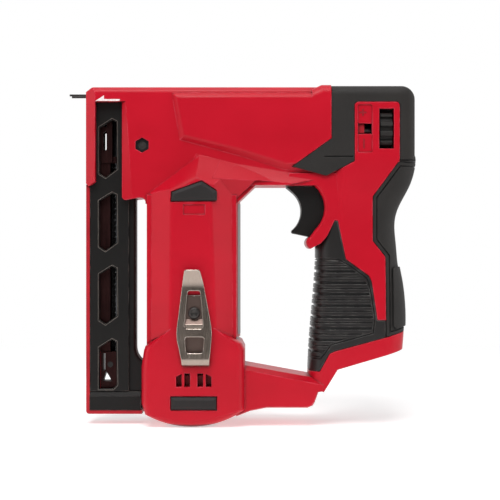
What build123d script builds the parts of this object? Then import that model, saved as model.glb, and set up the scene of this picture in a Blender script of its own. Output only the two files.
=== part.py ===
from build123d import *
import math
import os

# A cordless crown stapler. X runs from the work face (x = 0) back to the head, Z is up and
# Y = 0 is the plane in which the two housing shells meet. The staple leaves along Z = 0.

# Clearances
SHAFT_GAP = 0.05
SLIDE_GAP = 0.3
FREE_GAP = 0.6
SEAM = 0.35

# Staple, driver and their stroke
CROWN = 10.6
LEG = 12.0
WIRE_HIGH = 1.2
WIRE_THICK = 0.7
STAPLE_OUT = 11.0
STROKE = 18.0

# Walls and half thicknesses of the housing
WALL = 2.5
SKIN = 2.0
BEAM_HALF = 15.0
HEAD_HALF = 18.0
COLUMN_EDGE_HALF = 17.0
COLUMN_HALF = 26.0
BAR_HALF = 20.4
ROOT_HALF = 16.0
ROOT_ROUND = 2.0
FACE_ROUND = 5.0
PANEL_ROUND = 3.0

# Levels and stations of the housing
TOP = 4.4
HEAD_TOP = 5.0
BEAM_BOTTOM = -57.7
BAR_BOTTOM = -197.3
COLUMN_BOTTOM = -208.7
COLUMN_FRONT = 39.0
COLUMN_REAR = 95.2
HEAD_FRONT = 154.7
HEAD_REAR = 207.5
HEAD_BOTTOM = -42.0
TOP_ROUND = 4.0

# Magazine
MAG_FRONT = 2.6
MAG_REAR = 31.2
MAG_TOP = -4.8
MAG_BOTTOM = -187.6
MAG_WALL = 3.4
CHANNEL_HALF = CROWN / 2 + SLIDE_GAP
MAG_HALF = CHANNEL_HALF + MAG_WALL
CHANNEL_REAR = 20.5
WINDOW_TOP = -16.0
WINDOW_PITCH = 46.4
WINDOW_HIGH = 36.2
WINDOW_BEVEL = 0.7
WINDOW_COUNT = 4
STRIP = 2.3
CORE_HALF = 4.3
CORE_REAR = 14.8
RAIL_FRONT = MAG_FRONT + 1.0
PUSHER_LENGTH = 42.0
FOOT_PLATE = 2.4
DRAWER_BOTTOM = -202.0
DRAWER_ROUND = 2.0

# Drive train, on the axis of the column
AXIS_X = 67.6
BORE_RADIUS = 23.6
CAVITY_BOTTOM = -34.5
GEAR_MODULE = 0.8
SUN_TEETH = 12
PLANET_TEETH = 18
PLANET_COUNT = 3
GEAR_FACE = 12.0
BACKLASH = 0.12

# Striker, main spring and power adjuster, along the beam
ROD_Z = -22.3
ROD_RADIUS = 3.0
STRIKER_FRONT = 50.0
STRIKER_LENGTH = 20.0
SPRING_WIRE = 2.6
SPRING_RADIUS = 9.0
SPRING_TURNS = 10
WHEEL_FRONT = 185.4
WHEEL_WIDTH = 7.6
WHEEL_RADIUS = 18.2
WHEEL_RIBS = 18
RIB_WIDTH = 3.0
RIB_RISE = 2.0
SEAT_FRONT = 146.0
SEAT_LENGTH = 14.0
SEAT_TRAVEL = 4.0

# Handle and trigger
TRIGGER_HALF = 9.0
TRIGGER_TRAVEL = 7.0
SPRING_ROOM = 4.4
HANDLE_CORNER = 13.0
GROOVE = 1.3
GROOVE_WIDTH = 1.8
GROOVE_PITCH = 7.1
LINE_DEPTH = 0.6
LINE_WIDTH = 0.8
SOCKET_TOP = -112.0


def at(point, level):
    return Vector(point[0], level, point[1])


def contour(level, start, *steps):
    # Closed face in a plane of constant Y. A step is a point, or a pair (middle, end) of an arc.
    edges = []
    here = start
    for step in steps:
        if isinstance(step[0], tuple):
            middle, end = step
            edges.append(ThreePointArc(at(here, level), at(middle, level), at(end, level)))
        else:
            end = step
            edges.append(Line(at(here, level), at(end, level)))
        here = end
    if here != start:
        edges.append(Line(at(here, level), at(start, level)))
    return make_face(edges)


def slab(low, high, start, *steps):
    return extrude(contour(low, start, *steps), high - low, dir=(0, 1, 0))


def both(half, start, *steps):
    return slab(-half, half, start, *steps)


def block(x0, x1, y0, y1, z0, z1):
    return Pos((x0 + x1) / 2, (y0 + y1) / 2, (z0 + z1) / 2) * Box(x1 - x0, y1 - y0, z1 - z0)


def beam_block(x0, x1, half, z0, z1):
    return block(x0, x1, -half, half, z0, z1)


def frustum(low_level, low_points, high_level, high_points):
    # Raised panel with sloping sides, between two outlines with as many corners each.
    faces = [contour(low_level, *low_points), contour(high_level, *high_points)]
    return loft(faces, ruled=True)


def eased(form, level, low, rear, radius):
    # The same panel with the edges of its face rounded, down to a height and back to a station.
    rim = [edge for edge in form.edges() if abs(edge.center().Y - level) < 0.01
           and edge.center().Z > low and edge.center().X < rear]
    return fillet(rim, radius)


def inset(points, distance):
    # The same polygon with each side moved inwards, or outwards where the distance is negative.
    turn = sum(a[0] * b[1] - b[0] * a[1] for a, b in zip(points, points[1:] + points[:1]))
    side = distance if turn > 0 else -distance
    moved = []
    for before, here, after in zip(points[-1:] + points[:-1], points, points[1:] + points[:1]):
        first = Vector(here[0] - before[0], here[1] - before[1]).normalized()
        second = Vector(after[0] - here[0], after[1] - here[1]).normalized()
        normal = Vector(-first.Y - second.Y, first.X + second.X)
        share = side / (1 + first.dot(second))
        moved.append((here[0] + normal.X * share, here[1] + normal.Y * share))
    return moved


def mirrored(shape):
    return [shape, mirror(shape, Plane.XZ)]


def rod_x(x0, x1, radius, y=0.0, z=0.0):
    return Pos((x0 + x1) / 2, y, z) * Rot(0, 90, 0) * Cylinder(radius, x1 - x0)


def rod_y(y0, y1, radius, x=0.0, z=0.0):
    return Pos(x, (y0 + y1) / 2, z) * Rot(90, 0, 0) * Cylinder(radius, y1 - y0)


def rod_z(z0, z1, radius, x=0.0, y=0.0):
    return Pos(x, y, (z0 + z1) / 2) * Cylinder(radius, z1 - z0)


def joined(shapes):
    whole = shapes[0]
    for shape in shapes[1:]:
        whole = whole + shape
    return whole


# Outer forms of the housing

NOSE_SLOT = (6.4, 23.0)
NOSE_END = -66.8
CHEEK_END = -55.4
NOSE_FACET = (6.2, 5.2)
LIP_DEPTH = 2.6
LIP_TOP = 2.6
LIP_FOOT = 7.0
LIP_ROUND = 2.5


def beam_form():
    ease = LIP_ROUND * (1 - math.sqrt(0.5))
    outline = both(
        BEAM_HALF, (0, 1.6), (5, TOP), (HEAD_FRONT + 15, TOP), (HEAD_FRONT + 15, -50), (152, -52),
        (126.4, BEAM_BOTTOM), (COLUMN_REAR + 12, BEAM_BOTTOM), (COLUMN_REAR, BEAM_BOTTOM - 11.5),
        (COLUMN_FRONT - 1, BEAM_BOTTOM - 11.5), ((37.4, NOSE_END + 0.2), (34.6, NOSE_END + 1.4)),
        (31, NOSE_END + 1.0),
        (NOSE_SLOT[1] + LIP_ROUND, NOSE_END),
        ((NOSE_SLOT[1] + ease, NOSE_END + ease), (NOSE_SLOT[1], NOSE_END + LIP_ROUND)),
        (NOSE_SLOT[1], MAG_TOP), (NOSE_SLOT[0], MAG_TOP),
        (NOSE_SLOT[0], CHEEK_END), (1.9, CHEEK_END - 2.8), (0, CHEEK_END - 0.9))
    top_edges = outline.edges().filter_by(Axis.X).filter_by_position(Axis.Z, TOP - 0.01, TOP + 0.01)
    form = fillet(top_edges, TOP_ROUND)
    facet = make_face(Polyline((0, BEAM_HALF - NOSE_FACET[1], -90), (0, BEAM_HALF + 1, -90),
                               (NOSE_FACET[0] * 1.2, BEAM_HALF + 1, -90), close=True))
    wedges = []
    front = NOSE_SLOT[1] - 0.01
    inner = BEAM_HALF - LIP_DEPTH
    outer = BEAM_HALF + 0.01
    for level, width in ((NOSE_END - 1, LIP_FOOT), (MAG_TOP, LIP_TOP)):
        corners = (front, inner, level), (front, outer, level), (front + width, outer, level)
        wedges.append(make_face(Polyline(*corners, close=True)))
    cuts = [extrude(facet, 120, dir=(0, 0, 1)), loft(wedges, ruled=True)]
    for cut in cuts:
        for side in mirrored(cut):
            form = form - side
    return form


def panel_form():
    low = [(54.6, TOP - TOP_ROUND), (59.6, -29.0), (97.4, -39.2), (126, -48.0), (165, -48.0),
           (165, TOP - TOP_ROUND)]
    high = [(57.3, -1.6), (62.5, -26.9), (97.5, -35.2), (126, -44.0), (165, -44.0), (165, -1.6)]
    face = eased(frustum(-BEAM_HALF, low, -HEAD_HALF, high), -HEAD_HALF, HEAD_BOTTOM, HEAD_FRONT, PANEL_ROUND)
    return mirrored(face)


FOOT_FRONT = 36.0
FOOT_BACK = 100.6
FOOT_SHOULDER = -158.2
FOOT_CORNER = -198.0
# Rounding of the foot's rim: distance in from the outline, distance below the face
FOOT_RIM = [(0.0, 7.0), (1.0, 3.2), (2.6, 1.0), (5.0, 0.0)]
LAND_CROWN = 2.3
LAND = (-153.0, -67.6, 14.0)


def foot_section(level, inward):
    front = FOOT_FRONT + inward
    back = FOOT_BACK - inward
    return contour(
        level, (54.0, -147.4), (82.0, -147.0), (back - 2, FOOT_SHOULDER + 2), (back, FOOT_SHOULDER - 2),
        (back, FOOT_CORNER), ((AXIS_X, COLUMN_BOTTOM + inward), (front + 2.2, FOOT_CORNER - 3)),
        (front, FOOT_CORNER + 4), (front, -171.0), (front + 1.4, FOOT_SHOULDER - 3),
        (front + 2.4, FOOT_SHOULDER))


def column_form():
    core = both(
        COLUMN_EDGE_HALF, (COLUMN_FRONT, BEAM_BOTTOM - 6), (COLUMN_REAR, BEAM_BOTTOM - 6),
        (COLUMN_REAR, -158.0), (COLUMN_FRONT, -158.0))
    low = [(COLUMN_FRONT, -63.5), (72.0, -38.6), (COLUMN_REAR, -44.3), (COLUMN_REAR, -68.0),
           (COLUMN_REAR, -156.0), (COLUMN_FRONT, -156.0)]
    high = [(55.2, -60.0), (70.3, -53.7), (81.0, -58.0), (79.2, -72.0), (82.0, -149.0), (54.0, -149.0)]
    sections = [foot_section(-COLUMN_HALF + depth, inward) for inward, depth in FOOT_RIM]
    rim = loft(sections)
    rim_half = COLUMN_HALF - FOOT_RIM[0][1]
    middle = extrude(foot_section(-rim_half, 0), 2 * rim_half, dir=(0, 1, 0))
    edges = [ThreePointArc((COLUMN_REAR, -LAND[2], LAND[0]), (COLUMN_REAR + LAND_CROWN, 0, LAND[0]),
                           (COLUMN_REAR, LAND[2], LAND[0])),
             Line((COLUMN_REAR, LAND[2], LAND[0]), (COLUMN_REAR, -LAND[2], LAND[0]))]
    land = extrude(make_face(edges), LAND[1] - LAND[0], dir=(0, 0, 1))
    face = eased(frustum(-BEAM_HALF, low, -COLUMN_HALF, high), -COLUMN_HALF, -148.0, COLUMN_REAR, FACE_ROUND)
    return [core, middle, land] + mirrored(rim) + mirrored(face)


def ridge_form():
    low = [(70, -37.6), (COLUMN_REAR, -44.1), (150.7, -53.2), (126.4, BEAM_BOTTOM), (60, BEAM_BOTTOM)]
    high = [(70, -53.7), (COLUMN_REAR, -53.5), (130.5, -56.6), (126.4, BEAM_BOTTOM), (70, BEAM_BOTTOM)]
    return mirrored(frustum(-BEAM_HALF, low, -BEAM_HALF - 3, high))


def bar_form():
    outline = [(95, -169.6), (101.9, -170.8), (138.8, -177.5), (152.4, -180.0), (149.7, -187.1),
               (146.6, -187.6), (144.5, -193.6), (143.2, -195.9), (140.0, BAR_BOTTOM), (114, BAR_BOTTOM),
               (104, BAR_BOTTOM - 2.0), (95, BAR_BOTTOM - 5.5)]
    ridge = [(95, -172.1), (101.9, -173.3), (138.8, -180.5), (149.6, -182.5), (149.1, -186.5),
             (146.0, -186.9), (143.7, -192.9), (142.3, -195.0), (139.6, BAR_BOTTOM + 1.2),
             (114, BAR_BOTTOM + 1.2), (104, BAR_BOTTOM - 0.8), (95, BAR_BOTTOM - 4.3)]
    edge_half = BAR_HALF - 5
    return [both(edge_half, *outline)] + mirrored(frustum(-edge_half, outline, -BAR_HALF, ridge))


# Outline of the dark head cover on the side of the beam, without the dial panel
HEAD_ARROW = [(HEAD_FRONT, -28.3), (129.7, -46.1), (151.6, -52.1), (169.1, -42.7)]
DIAL = (169.3, 197.4, -5.5, -42.7)


HEAD_ROUND = 6.0
DIAL_ROUND = 2.6
COLLAR_RISE = 0.6


def head_form(inward):
    top = HEAD_TOP - inward
    rear = HEAD_REAR - inward
    half = HEAD_HALF - inward
    form = both(
        half, (HEAD_FRONT, top), (rear - 8.5, top), ((rear - 2.5, top - 2.5), (rear, top - 8.5)),
        (rear, HEAD_BOTTOM), *reversed(HEAD_ARROW))
    rim = [edge for edge in form.edges() if abs(abs(edge.center().Y) - half) < 0.01
           and (edge.center().Z > top - 5 or edge.center().X > rear - 0.1)]
    return fillet(rim, HEAD_ROUND - inward)


def collar_form():
    top = HEAD_TOP + COLLAR_RISE
    form = both(HEAD_HALF, (HEAD_FRONT - 12, TOP - 1.5), (HEAD_FRONT - 6, top), (HEAD_FRONT, top),
                (HEAD_FRONT, TOP - 12), (HEAD_FRONT - 12, TOP - 12))
    rim = [edge for edge in form.edges() if abs(abs(edge.center().Y) - HEAD_HALF) < 0.01
           and edge.center().Z > TOP - 1.4]
    return fillet(rim, HEAD_ROUND - 0.5)


# Handle sections: height, front, rear, half width
HANDLE = [
    (-36, 152.0, 207.2, 18.0), (-44, 151.5, 208.8, 18.0), (-55, 151.0, 206.2, 17.4),
    (-64, 150.5, 201.9, 16.8), (-73, 149.5, 197.5, 16.4), (-82, 147.5, 195.7, 16.4),
    (-97, 145.4, 196.7, 17.0), (-108, 145.2, 197.7, 18.0), (-121, 144.4, 200.0, 19.2),
    (-135, 143.2, 201.2, 20.0), (-147, 142.2, 201.2, 20.5), (-160, 141.3, 200.2, 20.8),
    (-171, 140.8, 199.4, 20.8), (-182, 140.5, 198.7, 20.8), (-193, 140.2, 198.0, 20.8)]


def handle_form(inward):
    sections = []
    for height, front, rear, half in HANDLE:
        deep = rear - front - 2 * inward
        centre = (front + rear) / 2
        outline = RectangleRounded(deep, 2 * (half - inward), HANDLE_CORNER - inward)
        sections.append(Plane.XY.offset(height) * Pos(centre, 0) * outline)
    return loft(sections)


def root_form():
    form = both(
        ROOT_HALF, (128, -50), (128, BEAM_BOTTOM), (144.0, BEAM_BOTTOM),
        ((150.4, -69.5), (145.0, -85.1)), (141.5, -89.9), ((139.0, -94.6), (141.6, -97.6)),
        (146, -102), (175, -102), (175, -50))
    rim = [edge for edge in form.edges() if abs(abs(edge.center().Y) - ROOT_HALF) < 0.01
           and edge.center().X < 151 and -101 < edge.center().Z < BEAM_BOTTOM - 1]
    return fillet(rim, ROOT_ROUND)


def below_handle():
    return both(COLUMN_HALF + 5, (130, -178), (149.7, -187.1), (158.4, -173), (220, -154.8), (220, -240),
                (130, -240))


def outer_form(handle):
    shapes = [beam_form()] + panel_form() + column_form() + ridge_form() + bar_form()
    shapes += [head_form(0), collar_form(), root_form(), handle]
    return joined(shapes)


# Soft skins over the head and the handle

FRONT_GRIP = [(141.6, -97.6), (148.2, -94.1), (152.1, -89.6), (156.8, -79.6), (158.8, -79.8),
              (163.8, -103.9), (178.1, -114.4), (179.9, -118.3), (183.3, -142.0), (188.5, -142.0),
              (188.5, -153.0), (156.6, -161.6), (153.4, -163.1), (147.4, -174.3), (130, -174.3),
              (130, -97.6)]
RIB_PANEL = [(130, -102.8), (159.0, -103.9), (166.2, -107.6), (177.0, -115.7), (179.4, -123.4),
             (182.0, -141.0), (180.9, -150.5), (154.8, -157.6), (147.9, -166.6), (130, -166.6)]
PALM_PAD = [(193.4, -110.2), (194.7, -108.9), (220, -108.9), (220, -141.0), (195.4, -147.6),
            (193.4, -146.0)]
PALM_RISE = 1.0
REAR_BORDER = 2.2
COVER_LINE = (150.0, 168.0, -40.1)
REAR_GRIP = [(196.5, -43.1), (180.6, -64.7), (180.6, -92.7), (188.5, -102.7), (188.5, -153.0),
             (220, -143.6), (220, -43.1)]


def head_region(gap):
    outline = [(HEAD_FRONT, HEAD_TOP + 1), (HEAD_REAR + 1, HEAD_TOP + 1), (HEAD_REAR + 1, HEAD_BOTTOM),
               (DIAL[1], HEAD_BOTTOM), (DIAL[1], DIAL[2]), (DIAL[0], DIAL[2]), (DIAL[0], DIAL[3])]
    region = both(HEAD_HALF + 1, *inset(outline + HEAD_ARROW[::-1], gap))
    corners = region.edges().filter_by(Axis.Y).filter_by_position(Axis.Z, DIAL[2] - 1, DIAL[2] + 1)
    return fillet(corners, DIAL_ROUND + gap)


def cover_line():
    front, rear, level = COVER_LINE
    line = beam_block(front, rear, HEAD_HALF + 1, level, level + LINE_WIDTH)
    return line - beam_block(front, rear, HEAD_HALF - LINE_DEPTH, level - 1, level + 2)


def grip_region(outline, gap):
    return both(COLUMN_HALF, *inset(outline, gap))


def grip_groove(outline, gap):
    # Shallow line that follows the edge of a grip.
    band = grip_region(outline, gap) - grip_region(outline, gap + LINE_WIDTH)
    return band - handle_form(LINE_DEPTH)


def palm_pad():
    return handle_form(-PALM_RISE) & grip_region(PALM_PAD, 0)


def section_at(height):
    # Front, rear and half width of the handle at a height, between its sections.
    for upper, lower in zip(HANDLE, HANDLE[1:]):
        if lower[0] <= height <= upper[0]:
            share = (upper[0] - height) / (upper[0] - lower[0])
            return [a + (b - a) * share for a, b in zip(upper[1:], lower[1:])]


def ring_cutter(level, depth, width):
    front, rear, half = section_at(level)
    core = RectangleRounded(rear - front - 2 * depth, 2 * (half - depth), HANDLE_CORNER - depth)
    plug = extrude(Plane.XY.offset(level - width) * Pos((front + rear) / 2, 0) * core, 2 * width)
    return beam_block(front - 10, rear, COLUMN_HALF, level - width / 2, level + width / 2) - plug


def rib_cutters():
    cutters = []
    count = int((RIB_PANEL[0][1] - RIB_PANEL[-1][1]) / GROOVE_PITCH)
    for index in range(count + 1):
        level = RIB_PANEL[0][1] - GROOVE_WIDTH - index * GROOVE_PITCH
        cutters.append(ring_cutter(level, GROOVE, GROOVE_WIDTH))
        cutters.append(ring_cutter(level - GROOVE_PITCH / 2, LINE_DEPTH, LINE_WIDTH))
    panel = grip_region(RIB_PANEL, LINE_WIDTH + LINE_DEPTH)
    return [cutter & panel for cutter in cutters] + [grip_groove(RIB_PANEL, 0)]


# Coil springs: one unbroken tube on pairs of arcs, half a turn to each pair

def biarc(start, start_dir, end, end_dir):
    total = start_dir + end_dir
    span = end - start
    spread = 2 * (1 - start_dir.dot(end_dir))
    along = span.dot(total)
    reach = (math.sqrt(along * along + spread * span.dot(span)) - along) / spread
    return (start + end + (start_dir - end_dir) * reach) * 0.5


def helix_gap(radius, wire, turns, length):
    # Least distance between neighbouring turns, measured on points of the centre line.
    steps = 24
    points = []
    for index in range(int(turns * steps) + 1):
        angle = 2 * math.pi * index / steps
        rise = length * index / (turns * steps)
        points.append(Vector(radius * math.cos(angle), radius * math.sin(angle), rise))
    least = length
    for first in range(len(points)):
        for second in range(first + steps // 2, min(first + 2 * steps, len(points))):
            least = min(least, (points[first] - points[second]).length)
    return least - wire


def coil(radius, wire, turns, length):
    # Compression spring about +Z from z = 0, its wire ending in straight tips.
    slope = length / math.hypot(length, 2 * math.pi * turns * radius)
    low = wire * (0.5 + slope)
    inner = length - 2 * low
    rise = inner / (2 * math.pi * turns)
    scale = math.hypot(radius, rise)
    steps = 2 * turns
    points = []
    directions = []
    for index in range(steps + 1):
        angle = math.pi * index
        points.append(Vector(radius * math.cos(angle), radius * math.sin(angle), low + rise * angle))
        directions.append(Vector(-radius * math.sin(angle), radius * math.cos(angle), rise) / scale)
    edges = [Line(points[0] - directions[0] * wire, points[0])]
    for index in range(steps):
        middle = biarc(points[index], directions[index], points[index + 1], directions[index + 1])
        first = TangentArc(points[index], middle, tangent=directions[index])
        edges += [first, TangentArc(middle, points[index + 1], tangent=first % 1)]
    edges.append(Line(points[-1], points[-1] + directions[-1] * wire))
    path = Wire(edges)
    section = Plane(origin=path @ 0, z_dir=path % 0) * Circle(wire / 2)
    print("coil gap", round(helix_gap(radius, wire, turns, inner), 2))
    return sweep(section, path)


# Gears

def tooth_angle(pitch_radius, half_pitch_angle, radius):
    base = pitch_radius * math.cos(math.radians(20))
    pressure = math.radians(20)
    here = math.acos(min(1.0, base / max(radius, base)))
    return half_pitch_angle + math.tan(pressure) - pressure - math.tan(here) + here


def gear_face(teeth, outward, inward, play, turn=0.0):
    pitch_radius = GEAR_MODULE * teeth / 2
    half_angle = math.pi / (2 * teeth) - play / (2 * pitch_radius)
    radii = [pitch_radius - inward, pitch_radius, pitch_radius + outward]
    points = []
    for index in range(teeth):
        middle = turn + 2 * math.pi * index / teeth
        for side, order in ((-1, radii), (1, radii[::-1])):
            for radius in order:
                angle = middle + side * tooth_angle(pitch_radius, half_angle, radius)
                points.append((radius * math.cos(angle), radius * math.sin(angle)))
    return make_face(Polyline(*points, close=True))


ADDENDUM = 0.9 * GEAR_MODULE
DEDENDUM = 1.15 * GEAR_MODULE
RING_TEETH = SUN_TEETH + 2 * PLANET_TEETH
PLANET_ORBIT = GEAR_MODULE * (SUN_TEETH + PLANET_TEETH) / 2
RING_RADIUS = BORE_RADIUS - 1.6


def placed(shape, z, x=AXIS_X, y=0.0):
    return Pos(x, y, z) * shape


# Levels of the drive train, from the lifter wheel down to the lower bearing
CATCH_BOTTOM = -33.0
LIFTER_TOP = CATCH_BOTTOM - 5.0
LIFTER_HIGH = 6.0
NECK = 14.0
CASE_TOP = LIFTER_TOP - LIFTER_HIGH - NECK
BORE_TOP = CASE_TOP + FREE_GAP
CASE_PLATE = 6.0
CARRIER_TOP = CASE_TOP - CASE_PLATE - 3.0
CARRIER_HIGH = 4.0
GEAR_TOP = CARRIER_TOP - CARRIER_HIGH - 1.0
GEAR_BOTTOM = GEAR_TOP - GEAR_FACE
CASE_BOTTOM = GEAR_BOTTOM - 10.0
MOTOR_PLATE = 4.0
CAN_LENGTH = 64.0
CAN_RADIUS = 18.0
CAN_WALL = 1.6
BELL_HIGH = 6.0
CAN_BOTTOM = CASE_BOTTOM - CAN_LENGTH
FAN_TOP = CAN_BOTTOM - BELL_HIGH - 3.0
FAN_HIGH = 9.0
FAN_RADIUS = 16.5
FAN_BLADES = 9
BEARING_HIGH = 4.0
SEAT_TOP = FAN_TOP - FAN_HIGH - FREE_GAP
SEAT_RADIUS = 5.0
SHAFT_RADIUS = 2.0
OUTPUT_RADIUS = 4.0
PIN_RADIUS = 1.5
LIFTER_RADIUS = STROKE / 2 + 3.0
ROLLER_RADIUS = 2.4


def tube_z(z0, z1, outside, inside, x=AXIS_X, y=0.0):
    return rod_z(z0, z1, outside, x, y) - rod_z(z0 - 1, z1 + 1, inside, x, y)


def sun_gear():
    face = gear_face(SUN_TEETH, ADDENDUM, DEDENDUM, BACKLASH)
    gear = placed(extrude(face, GEAR_FACE), GEAR_BOTTOM)
    return gear - rod_z(GEAR_BOTTOM - 1, GEAR_TOP + 1, SHAFT_RADIUS, AXIS_X)


def orbit_spot(index):
    angle = 2 * math.pi * index / PLANET_COUNT
    return AXIS_X + PLANET_ORBIT * math.cos(angle), PLANET_ORBIT * math.sin(angle), angle


def planet_gear(index):
    x, y, angle = orbit_spot(index)
    face = gear_face(PLANET_TEETH, ADDENDUM, DEDENDUM, BACKLASH, angle + math.pi / PLANET_TEETH)
    gear = placed(extrude(face, GEAR_FACE), GEAR_BOTTOM, x, y)
    return gear - rod_z(GEAR_BOTTOM - 1, GEAR_TOP + 1, PIN_RADIUS + SHAFT_GAP, x, y)


def ring_gear():
    hole = gear_face(RING_TEETH, DEDENDUM, ADDENDUM, -BACKLASH, math.pi / RING_TEETH)
    body = rod_z(GEAR_BOTTOM, GEAR_TOP, RING_RADIUS, AXIS_X)
    return body - placed(extrude(hole, GEAR_FACE + 2), GEAR_BOTTOM - 1)


def carrier():
    disc = rod_z(CARRIER_TOP - CARRIER_HIGH, CARRIER_TOP, PLANET_ORBIT + 5, AXIS_X)
    shaft = rod_z(CARRIER_TOP - 1, LIFTER_TOP, OUTPUT_RADIUS, AXIS_X)
    body = disc + shaft
    for index in range(PLANET_COUNT):
        x, y, _ = orbit_spot(index)
        body = body - rod_z(CARRIER_TOP - CARRIER_HIGH - 1, CARRIER_TOP + 1, PIN_RADIUS, x, y)
    return body


def planet_pins():
    pins = []
    for index in range(PLANET_COUNT):
        x, y, _ = orbit_spot(index)
        pins.append(rod_z(GEAR_BOTTOM, CARRIER_TOP, PIN_RADIUS, x, y))
    return Compound(children=pins)


def lifter_wheel():
    wheel = rod_z(LIFTER_TOP - LIFTER_HIGH, LIFTER_TOP, LIFTER_RADIUS, AXIS_X)
    wheel = wheel - rod_z(LIFTER_TOP - LIFTER_HIGH - 1, LIFTER_TOP + 1, OUTPUT_RADIUS, AXIS_X)
    return wheel - rod_z(LIFTER_TOP - LIFTER_HIGH - 1, LIFTER_TOP + 1, PIN_RADIUS, AXIS_X - STROKE / 2)


def lifter_pin():
    x = AXIS_X - STROKE / 2
    pin = rod_z(LIFTER_TOP - LIFTER_HIGH, CATCH_BOTTOM - SLIDE_GAP, PIN_RADIUS, x)
    return pin + rod_z(LIFTER_TOP, CATCH_BOTTOM - SLIDE_GAP, ROLLER_RADIUS, x)


def bearing(z0, outside, inside):
    return tube_z(z0, z0 + BEARING_HIGH, outside, inside + SHAFT_GAP)


def gearbox_case():
    outside = BORE_RADIUS - SHAFT_GAP
    case = rod_z(CASE_BOTTOM, CASE_TOP, outside, AXIS_X)
    case = case - rod_z(CASE_BOTTOM + MOTOR_PLATE, CASE_TOP - CASE_PLATE, RING_RADIUS, AXIS_X)
    case = case - rod_z(CASE_TOP - BEARING_HIGH, CASE_TOP + 1, 2 * OUTPUT_RADIUS, AXIS_X)
    case = case - rod_z(CASE_BOTTOM - 1, CASE_TOP + 1, OUTPUT_RADIUS + FREE_GAP, AXIS_X)
    rail = rod_z(CASE_BOTTOM + MOTOR_PLATE, GEAR_BOTTOM, RING_RADIUS, AXIS_X)
    return case + (rail - rod_z(CASE_BOTTOM, GEAR_BOTTOM + 1, RING_RADIUS - 2.0, AXIS_X))


def motor_can():
    can = rod_z(CAN_BOTTOM, CASE_BOTTOM, CAN_RADIUS, AXIS_X)
    can = can - rod_z(CAN_BOTTOM - 1, CASE_BOTTOM - 2.5, CAN_RADIUS - CAN_WALL, AXIS_X)
    return can - rod_z(CASE_BOTTOM - 5, CASE_BOTTOM + 1, SHAFT_RADIUS + FREE_GAP, AXIS_X)


def motor_magnets():
    outer_radius = CAN_RADIUS - CAN_WALL
    ring = tube_z(CAN_BOTTOM + 12, CASE_BOTTOM - 8, outer_radius, outer_radius - 2.2)
    split = block(AXIS_X - 40, AXIS_X + 40, -5, 5, CAN_BOTTOM, CASE_BOTTOM)
    return ring - split


def end_bell():
    bell = rod_z(CAN_BOTTOM - BELL_HIGH, CAN_BOTTOM, CAN_RADIUS, AXIS_X)
    bell = bell + rod_z(CAN_BOTTOM, CAN_BOTTOM + 3, CAN_RADIUS - CAN_WALL, AXIS_X)
    return bell - rod_z(CAN_BOTTOM - BELL_HIGH - 1, CAN_BOTTOM + 4, SHAFT_RADIUS + SHAFT_GAP, AXIS_X)


def rotor():
    shaft = rod_z(SEAT_TOP - BEARING_HIGH + 0.5, GEAR_TOP, SHAFT_RADIUS, AXIS_X)
    core = rod_z(CAN_BOTTOM + 14, CASE_BOTTOM - 10, CAN_RADIUS - CAN_WALL - 2.8, AXIS_X)
    commutator = rod_z(CAN_BOTTOM + 5, CAN_BOTTOM + 12, 5.5, AXIS_X)
    body = core + commutator
    for index in range(5):
        slot = block(-1.0, 1.0, CAN_RADIUS - CAN_WALL - 6.5, CAN_RADIUS, CAN_BOTTOM + 13, CASE_BOTTOM - 9)
        body = body - Pos(AXIS_X, 0, 0) * Rot(0, 0, 72 * index) * slot
    return body + shaft


def fan():
    hub = tube_z(FAN_TOP - FAN_HIGH, FAN_TOP, SHAFT_RADIUS + 2.5, SHAFT_RADIUS)
    plate = tube_z(FAN_TOP - 1.5, FAN_TOP, FAN_RADIUS, SHAFT_RADIUS)
    body = hub + plate
    for index in range(FAN_BLADES):
        blade = block(SHAFT_RADIUS + 1.5, FAN_RADIUS, -0.6, 0.6, FAN_TOP - FAN_HIGH, FAN_TOP - 1)
        body = body + Pos(AXIS_X, 0, 0) * Rot(0, 0, 360 / FAN_BLADES * index) * blade
    return body


# Striker and power adjuster in the beam

CAVITY_HALF = BEAM_HALF - WALL
CAVITY_TOP = TOP - WALL
BUMPER_FRONT = 42.0
STRIKER_REAR = STRIKER_FRONT + STRIKER_LENGTH
BLADE_HALF = CROWN / 2 - 0.1
BLADE_HIGH = WIRE_HIGH - 0.2
CROWN_REAR = LEG - STAPLE_OUT
BLADE_REAR = STRIKER_FRONT + 12
SCREW_RADIUS = 5.0
SCREW_FRONT = SEAT_FRONT + SEAT_TRAVEL + 1
WHEEL_REAR = WHEEL_FRONT + WHEEL_WIDTH
JOURNAL = 6.0
ROD_REAR = SEAT_FRONT - SEAT_TRAVEL - 2
FLAG = (164.0, 175.4, -25.2, -19.4)
FLAG_PLATE = 1.2
FLAG_LEVEL = HEAD_HALF - SKIN - 0.5
FLAG_WINDOW = (171.5, 180.0, -25.6, -19.0)


def striker():
    body = beam_block(STRIKER_FRONT, STRIKER_REAR, CAVITY_HALF - SLIDE_GAP, -30.5, CAVITY_TOP - SLIDE_GAP)
    catch = block(STRIKER_FRONT + 8, STRIKER_REAR - 4, -CAVITY_HALF + SLIDE_GAP, -0.5, CATCH_BOTTOM, -30)
    body = body + catch
    body = body - rod_x(STRIKER_FRONT - 1, STRIKER_REAR + 1, ROD_RADIUS + SHAFT_GAP, z=ROD_Z)
    slot = beam_block(STRIKER_FRONT - 1, BLADE_REAR, BLADE_HALF, -BLADE_HIGH / 2, BLADE_HIGH / 2)
    relief = [beam_block(STRIKER_FRONT - 1, STRIKER_REAR + 1, CAVITY_HALF, -8, -3)
              - beam_block(STRIKER_FRONT - 2, STRIKER_REAR + 2, 4, -9, -2)]
    return body - slot - relief


def driver_blade():
    return beam_block(CROWN_REAR, BLADE_REAR, BLADE_HALF, -BLADE_HIGH / 2, BLADE_HIGH / 2)


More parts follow.
